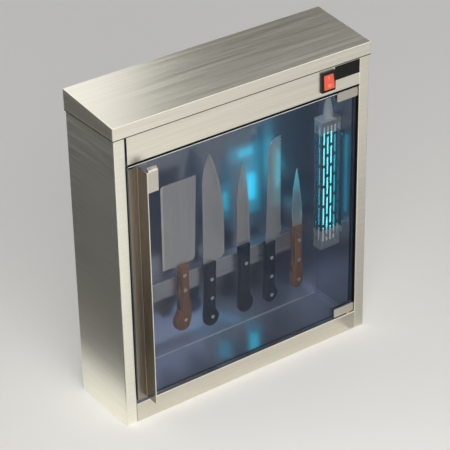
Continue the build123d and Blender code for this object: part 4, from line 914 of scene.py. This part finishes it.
class CABINET_OT_lamp(Operator):
    """Finish the lamp, its slotted guard and its sleeve, and light them"""

    bl_idname = "cabinet.lamp"
    bl_label = "Lamp"

    def execute(self, context):
        lamp = context.scene.cabinet_lamp
        # Painted shade: the guard's slotted band is dark teal, tinted with the lamp's glow, so that the slots
        # read wider.
        slotted = {"Z": (0.190, 0.394)}
        guard = brushed_finish(
            "guard_steel", (0.72, 0.76, 0.80), 0.34, "upright", variation=0.04, metallic=0.45,
            regions=[(slotted, (0.07, 0.20, 0.26))],
        )
        dress(guard, "lamp_cage")
        # Painted light: the socket, base and support glow as if lit by the lamp.
        white = glowing_finish("lamp_white_painted_glow", (0.78, 0.82, 0.84), (0.60, 0.80, 0.88), strength=0.30)
        dress(white, "lamp_socket", "lamp_base", "lamp_support")
        # Painted light: the silicone sleeve and the cage's top plate glow as if lit by the lamp.
        silicone = glowing_finish(
            "silicone_painted_glow", (0.70, 0.76, 0.80), (0.55, 0.72, 0.85), strength=0.16, roughness=0.45
        )
        dress(silicone, "lamp_sleeve", "cage_top_plate")
        dress(glowing_finish("lit_tube", (0.5, 0.95, 1.0), (0.30, 1.0, 1.0), lamp.strength), "lamp_tubes")
        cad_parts["lamp_tubes"].visible_glossy = False
        self.add_sleeve(lamp)
        self.add_glows(lamp)
        return {"FINISHED"}

    def add_sleeve(self, lamp):
        """The clear sleeve round the tubes: a squared circle carried up, closed at its ends."""
        low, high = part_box("lamp_tubes")
        cage_low, cage_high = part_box("lamp_cage")
        half_width, half_depth = 19.5 * MM, 8.4 * MM
        across, along = squared_circle(48, 0.5)
        levels = np.linspace(low[2] + 6 * MM, high[2] - 2 * MM, 20)
        points = np.empty((len(levels), len(across), 3))
        points[:, :, 0] = (cage_low[0] + cage_high[0]) / 2 + half_width * across
        points[:, :, 1] = (cage_low[1] + cage_high[1]) / 2 + half_depth * along
        points[:, :, 2] = levels[:, None]
        # Painted light: the clear sleeve glows as if lit by the tubes inside it.
        quartz = glowing_finish(
            "sleeve_painted_glow", (0.10, 0.45, 0.55), lamp.glow, strength=0.75, roughness=0.1, alpha=0.5
        )
        mesh = outward(grid_mesh("lamp_clear_sleeve", points))
        sleeve = place_piece("lamp_clear_sleeve", mesh, quartz, "cabinet", "lit_lamp_glass")
        sleeve.visible_glossy = False

    def add_glows(self, lamp):
        """The light that leaves the guard's slots, and the glow it leaves on the wall, floor and blades.

        Each glow has its middle, its turn about X and Z, its width and height, and its share of the light.
        A small core and a wide halo, of half its power each, soften its edge.
        """
        to_wall, to_floor, to_left, to_right = (90.0, 0.0), (0.0, -36.0), (90.0, 90.0), (90.0, -90.0)
        low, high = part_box("lamp_cage")
        slots = (low[0] - 4 * MM, (low[1] + high[1]) / 2, 0.345)
        self.add_spill("lamp_spill", lamp, slots, to_left, (0.018, 0.10), 0.16, in_metal=False)
        # Where the lights stand, just off the wall, the blades and the floor.
        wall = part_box("bar_cover")[1][1] - 23.5 * MM
        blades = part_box("paring_knife_blade")[0][1] - 20 * MM
        floor = 14 * MM
        glows = {
            "wall_glow_high": ((0.1200, wall, 0.3560), to_wall, (0.050, 0.024), 0.050),
            "wall_glow_low": ((0.1325, wall, 0.2800), to_wall, (0.026, 0.080), 0.14),
            "wall_glow_left": ((0.0705, wall, 0.2680), to_wall, (0.018, 0.056), 0.032),
            "wall_haze": ((0.1280, wall, 0.2950), to_wall, (0.075, 0.150), 0.080),
            "bread_knife_glow": ((0.1740, blades, 0.3180), to_wall, (0.022, 0.110), 0.060),
            "bread_teeth_glow": ((0.1950, blades, 0.3150), to_wall, (0.010, 0.120), 0.060),
            "paring_knife_glow": ((0.2205, blades, 0.2800), to_wall, (0.008, 0.040), 0.014),
            "utility_knife_glow": ((0.0965, blades, 0.3250), to_wall, (0.010, 0.070), 0.008),
            "floor_glow": ((0.0770, 0.0140, floor), to_floor, (0.022, 0.100), 0.060),
            "floor_glow_left": ((0.0200, 0.0300, floor), to_floor, (0.030, 0.070), 0.022),
        }
        for name, (middle, turn, (width, height), share) in glows.items():
            for layer, grow in (("core", 0.7), ("halo", 1.4)):
                layer_size = (width * grow, height * grow)
                self.add_spill(f"{name}_{layer}", lamp, middle, turn, layer_size, share / 2)
        sheen_middle, pale = (-0.060, wall, 0.050), (0.62, 0.75, 1.0)
        self.add_spill("wall_sheen", lamp, sheen_middle, to_wall, (0.15, 0.07), 0.085, colour=pale)
        self.add_spill("side_glow", lamp, (0.262, -0.004, 0.300), to_right, (0.010, 0.165), 0.050)

    def add_spill(self, name, lamp, place, turn, size, share, in_metal=True, colour=None):
        """A soft strip light, in the lamp's colour unless another is given, that the camera doesn't see."""
        light = bpy.data.lights.new(name, "AREA")
        light.shape = "RECTANGLE"
        light.size, light.size_y = size
        light.energy = lamp.spill * share
        light.color = colour or tuple(lamp.glow)
        strip = add_object(name, light)
        strip.location = place
        strip.rotation_euler = (radians(turn[0]), 0.0, radians(turn[1]))
        strip.visible_camera = False
        strip.visible_glossy = in_metal


class CABINET_OT_knives(Operator):
    """Build the blades, grips and rivets of the knives, and finish the bar"""

    bl_idname = "cabinet.knives"
    bl_label = "Knives and bar"

    def execute(self, context):
        settings = context.scene.cabinet_knives
        blade_steel = brushed_finish(
            "ground_blade", settings.blade, 0.33, "upright", variation=0.06, strength=0.02, fine=1.5,
            grain=0.03, metallic=0.7,
        )
        # Painted highlight: the ground bevels in white.
        painted_bevel_highlights(blade_steel, WHITE)
        grips = {
            "wood": wood_finish("oiled_wood", dark=(0.055, 0.021, 0.008), light=(0.56, 0.26, 0.10)),
            "black": moulded_finish(
                "grip_black", (0.011, 0.013, 0.018), 0.42, grain_scale=1100.0, strength=0.2, sheen=0.3
            ),
        }
        rivets = {
            "wood": ("rivet_brass", metal_finish("rivet_brass", (1.0, 0.80, 0.48), 0.26, metallic=0.3)),
            "black": ("rivet_steel", metal_finish("rivet_steel", (0.95, 0.96, 0.98), 0.22, metallic=0.3)),
        }
        for name, knife in KNIVES.items():
            low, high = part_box(f"{name}_handle")
            knife_y = (low[1] + high[1]) / 2
            grip_kind = knife["grip"]
            rivet_slot, rivet_metal = rivets[grip_kind]
            place_piece(
                f"{name}_ground_blade", blade_mesh(name, knife, settings, knife_y),
                blade_steel, name, "blade_steel", f"{name}_blade", smooth=8.0,
            )
            place_piece(
                f"{name}_grip", grip_mesh(name, knife, settings, knife_y),
                grips[grip_kind], name, f"{grip_kind}_grip", f"{name}_handle",
            )
            place_piece(
                f"{name}_domed_rivets", rivet_mesh(name, knife, settings, knife_y),
                rivet_metal, name, rivet_slot, f"{name}_rivets",
            )
        self.finish_bar()
        return {"FINISHED"}

    def finish_bar(self):
        """The magnetic bar's brushed cover, a pale bead along its upper edge as a painted highlight, and its
        hidden parts.
        """
        dress(brushed_finish("brushed_bar", (0.66, 0.68, 0.72), 0.32, metallic=0.8), "bar_cover")
        low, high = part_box("bar_cover")
        edge_y, edge_z = low[1] + 0.55 * MM, high[2] - 0.35 * MM
        start, end = (low[0] + 2 * MM, edge_y, edge_z), (high[0] - 2 * MM, edge_y, edge_z)
        # Painted highlight: a pale bead along the bar's upper edge.
        highlight_metal = metal_finish("bar_edge_painted_highlight", (0.96, 0.97, 0.98), 0.28, variation=0.02)
        add_bead("bar_edge_bead", start, end, 0.8 * MM, highlight_metal, "cabinet", "bright_stainless")
        dress_each(moulded_finish, {
            "bar_plastic": ((0.10, 0.10, 0.11), 0.5, "bar_core"),
            "bar_ferrite": ((0.05, 0.05, 0.055), 0.6, "bar_magnets"),
        })
        dress(metal_finish("bar_screw_steel", (0.60, 0.60, 0.60), 0.3), "bar_screws")


class CABINET_OT_electrics(Operator):
    """Finish what is held above the compartment shelf, and the cable gland"""

    bl_idname = "cabinet.electrics"
    bl_label = "Electrics"

    def execute(self, context):
        dress(metal_finish("ballast_can", (0.55, 0.56, 0.57), 0.42), "ballast")
        dress_each(moulded_finish, {
            "block_white": ((0.72, 0.72, 0.69), 0.45, "terminal_block"),
            "lead_white": ((0.66, 0.66, 0.63), 0.5, "internal_wires"),
            "gland_black": ((0.025, 0.025, 0.027), 0.45, "cable_gland", "gland_nut"),
            "interlock_grey": ((0.20, 0.21, 0.22), 0.48, "interlock_body", "interlock_plunger"),
        })
        return {"FINISHED"}


class CABINET_OT_studio(Operator):
    """Set up the floor, the backdrop, the lamps and the camera"""

    bl_idname = "cabinet.studio"
    bl_label = "Studio"

    def execute(self, context):
        studio = context.scene.cabinet_studio
        self.add_floor(studio)
        self.add_cards()
        self.light_world(context, studio)
        self.add_key(studio)
        self.add_camera(context, studio)
        context.scene.view_settings.view_transform = "Standard"
        return {"FINISHED"}

    def add_floor(self, studio):
        """A flat square under the cabinet."""
        reach = 14.0
        mesh = quad_mesh("floor", (-reach, -reach, 0.0), (reach, reach, 0.0))
        material, tree, shader = new_finish("pale_floor")
        pale = studio.floor_colour
        mottle = noise(tree, 1.2, detail=2.0)
        set_inputs(
            shader, Base_Color=blend_colours(tree, mottle, shade(pale, 0.99), shade(pale, 1.01)),
            Roughness=0.9, Specular_IOR_Level=0.1, Emission_Color=pale,
            Emission_Strength=calculate(tree, "MULTIPLY", seen_directly(tree), 0.28),
        )
        mesh.materials.append(material)
        add_object("floor", mesh)

    def add_cards(self):
        """Flat grey cards that only reflections see, so the steel shows light and shade."""
        cards = {
            "left_card": ((-1.8, -0.45, 0.003), (-0.345, 1.8, 0.003), 0.08),
            "right_card": ((0.24, -0.60, 0.003), (2.2, -0.02, 0.003), 0.60),
            "lid_card": ((0.32, 0.66, 0.70), (1.9, 0.66, 1.7), 0.15),
        }
        for name, (low, high, grey) in cards.items():
            mesh = quad_mesh(name, low, high)
            material, tree, shader = new_finish(name)
            mottle = noise(tree, 2.0, detail=2.0)
            tint = blend_colours(tree, mottle, (0.97 * grey,) * 3, (grey,) * 3)
            set_inputs(shader, Base_Color=tint, Roughness=0.95)
            mesh.materials.append(material)
            card = add_object(name, mesh)
            for ray in ("camera", "diffuse", "shadow", "transmission"):
                setattr(card, f"visible_{ray}", False)

    def light_world(self, context, studio):
        """An even fill, and a white backdrop for what the camera, metal and glass see."""
        world = bpy.data.worlds.new("studio")
        world.use_nodes = True
        tree = world.node_tree
        level = blend_values(tree, seen_directly(tree), studio.fill, 1.0)
        set_inputs(tree.nodes["Background"], Color=WHITE, Strength=level)
        context.scene.world = world

    def add_key(self, studio):
        """A large soft lamp to the front left of the cabinet, above it."""
        light = bpy.data.lights.new("key", "AREA")
        light.shape = "SQUARE"
        light.size = 0.9
        light.energy = studio.key_power
        light.color = (1.0, 0.97, 0.91)
        place, aim = Vector((-0.50, -1.15, 1.15)), Vector((-0.05, -0.30, 0.10))
        key = add_object("key", light)
        key.location = place
        key.rotation_euler = (aim - place).to_track_quat("-Z", "Y").to_euler()
        key.visible_camera = False

    def add_camera(self, context, studio):
        """The camera, at the photograph's angle."""
        data = bpy.data.cameras.new("camera")
        data.lens = studio.lens
        data.sensor_width = 36.0
        camera = add_object("camera", data)
        camera.location = studio.camera_place
        camera.rotation_euler = studio.camera_turn
        context.scene.camera = camera


OPERATORS = (
    CABINET_OT_body,
    CABINET_OT_door,
    CABINET_OT_switch,
    CABINET_OT_lamp,
    CABINET_OT_knives,
    CABINET_OT_electrics,
    CABINET_OT_studio,
)


class CABINET_PT_pieces(Panel):
    """Lists the steps and sizes in the sidebar"""

    bl_idname = "CABINET_PT_pieces"
    bl_label = "Knife Sterilizer Cabinet"
    bl_space_type = "VIEW_3D"
    bl_region_type = "UI"
    bl_category = "Cabinet"

    def draw(self, context):
        for operator in OPERATORS:
            self.layout.operator(operator.bl_idname)
        for group in SETTINGS:
            settings = getattr(context.scene, group)
            for name in settings.__annotations__:
                self.layout.prop(settings, name)


SETTINGS = {
    "cabinet_steel": SteelSettings,
    "cabinet_door": DoorSettings,
    "cabinet_lamp": LampSettings,
    "cabinet_knives": KnifeSettings,
    "cabinet_studio": StudioSettings,
}
CLASSES = (*SETTINGS.values(), *OPERATORS, CABINET_PT_pieces)


def register():
    for cls in CLASSES:
        bpy.utils.register_class(cls)
    for name, group in SETTINGS.items():
        setattr(bpy.types.Scene, name, PointerProperty(type=group))


def unregister():
    for name in SETTINGS:
        delattr(bpy.types.Scene, name)
    for cls in reversed(CLASSES):
        bpy.utils.unregister_class(cls)


def main():
    register()
    bpy.ops.cabinet.body()
    bpy.ops.cabinet.door()
    bpy.ops.cabinet.switch()
    bpy.ops.cabinet.lamp()
    bpy.ops.cabinet.knives()
    bpy.ops.cabinet.electrics()
    bpy.ops.cabinet.studio()


if __name__ == "__main__":
    main()
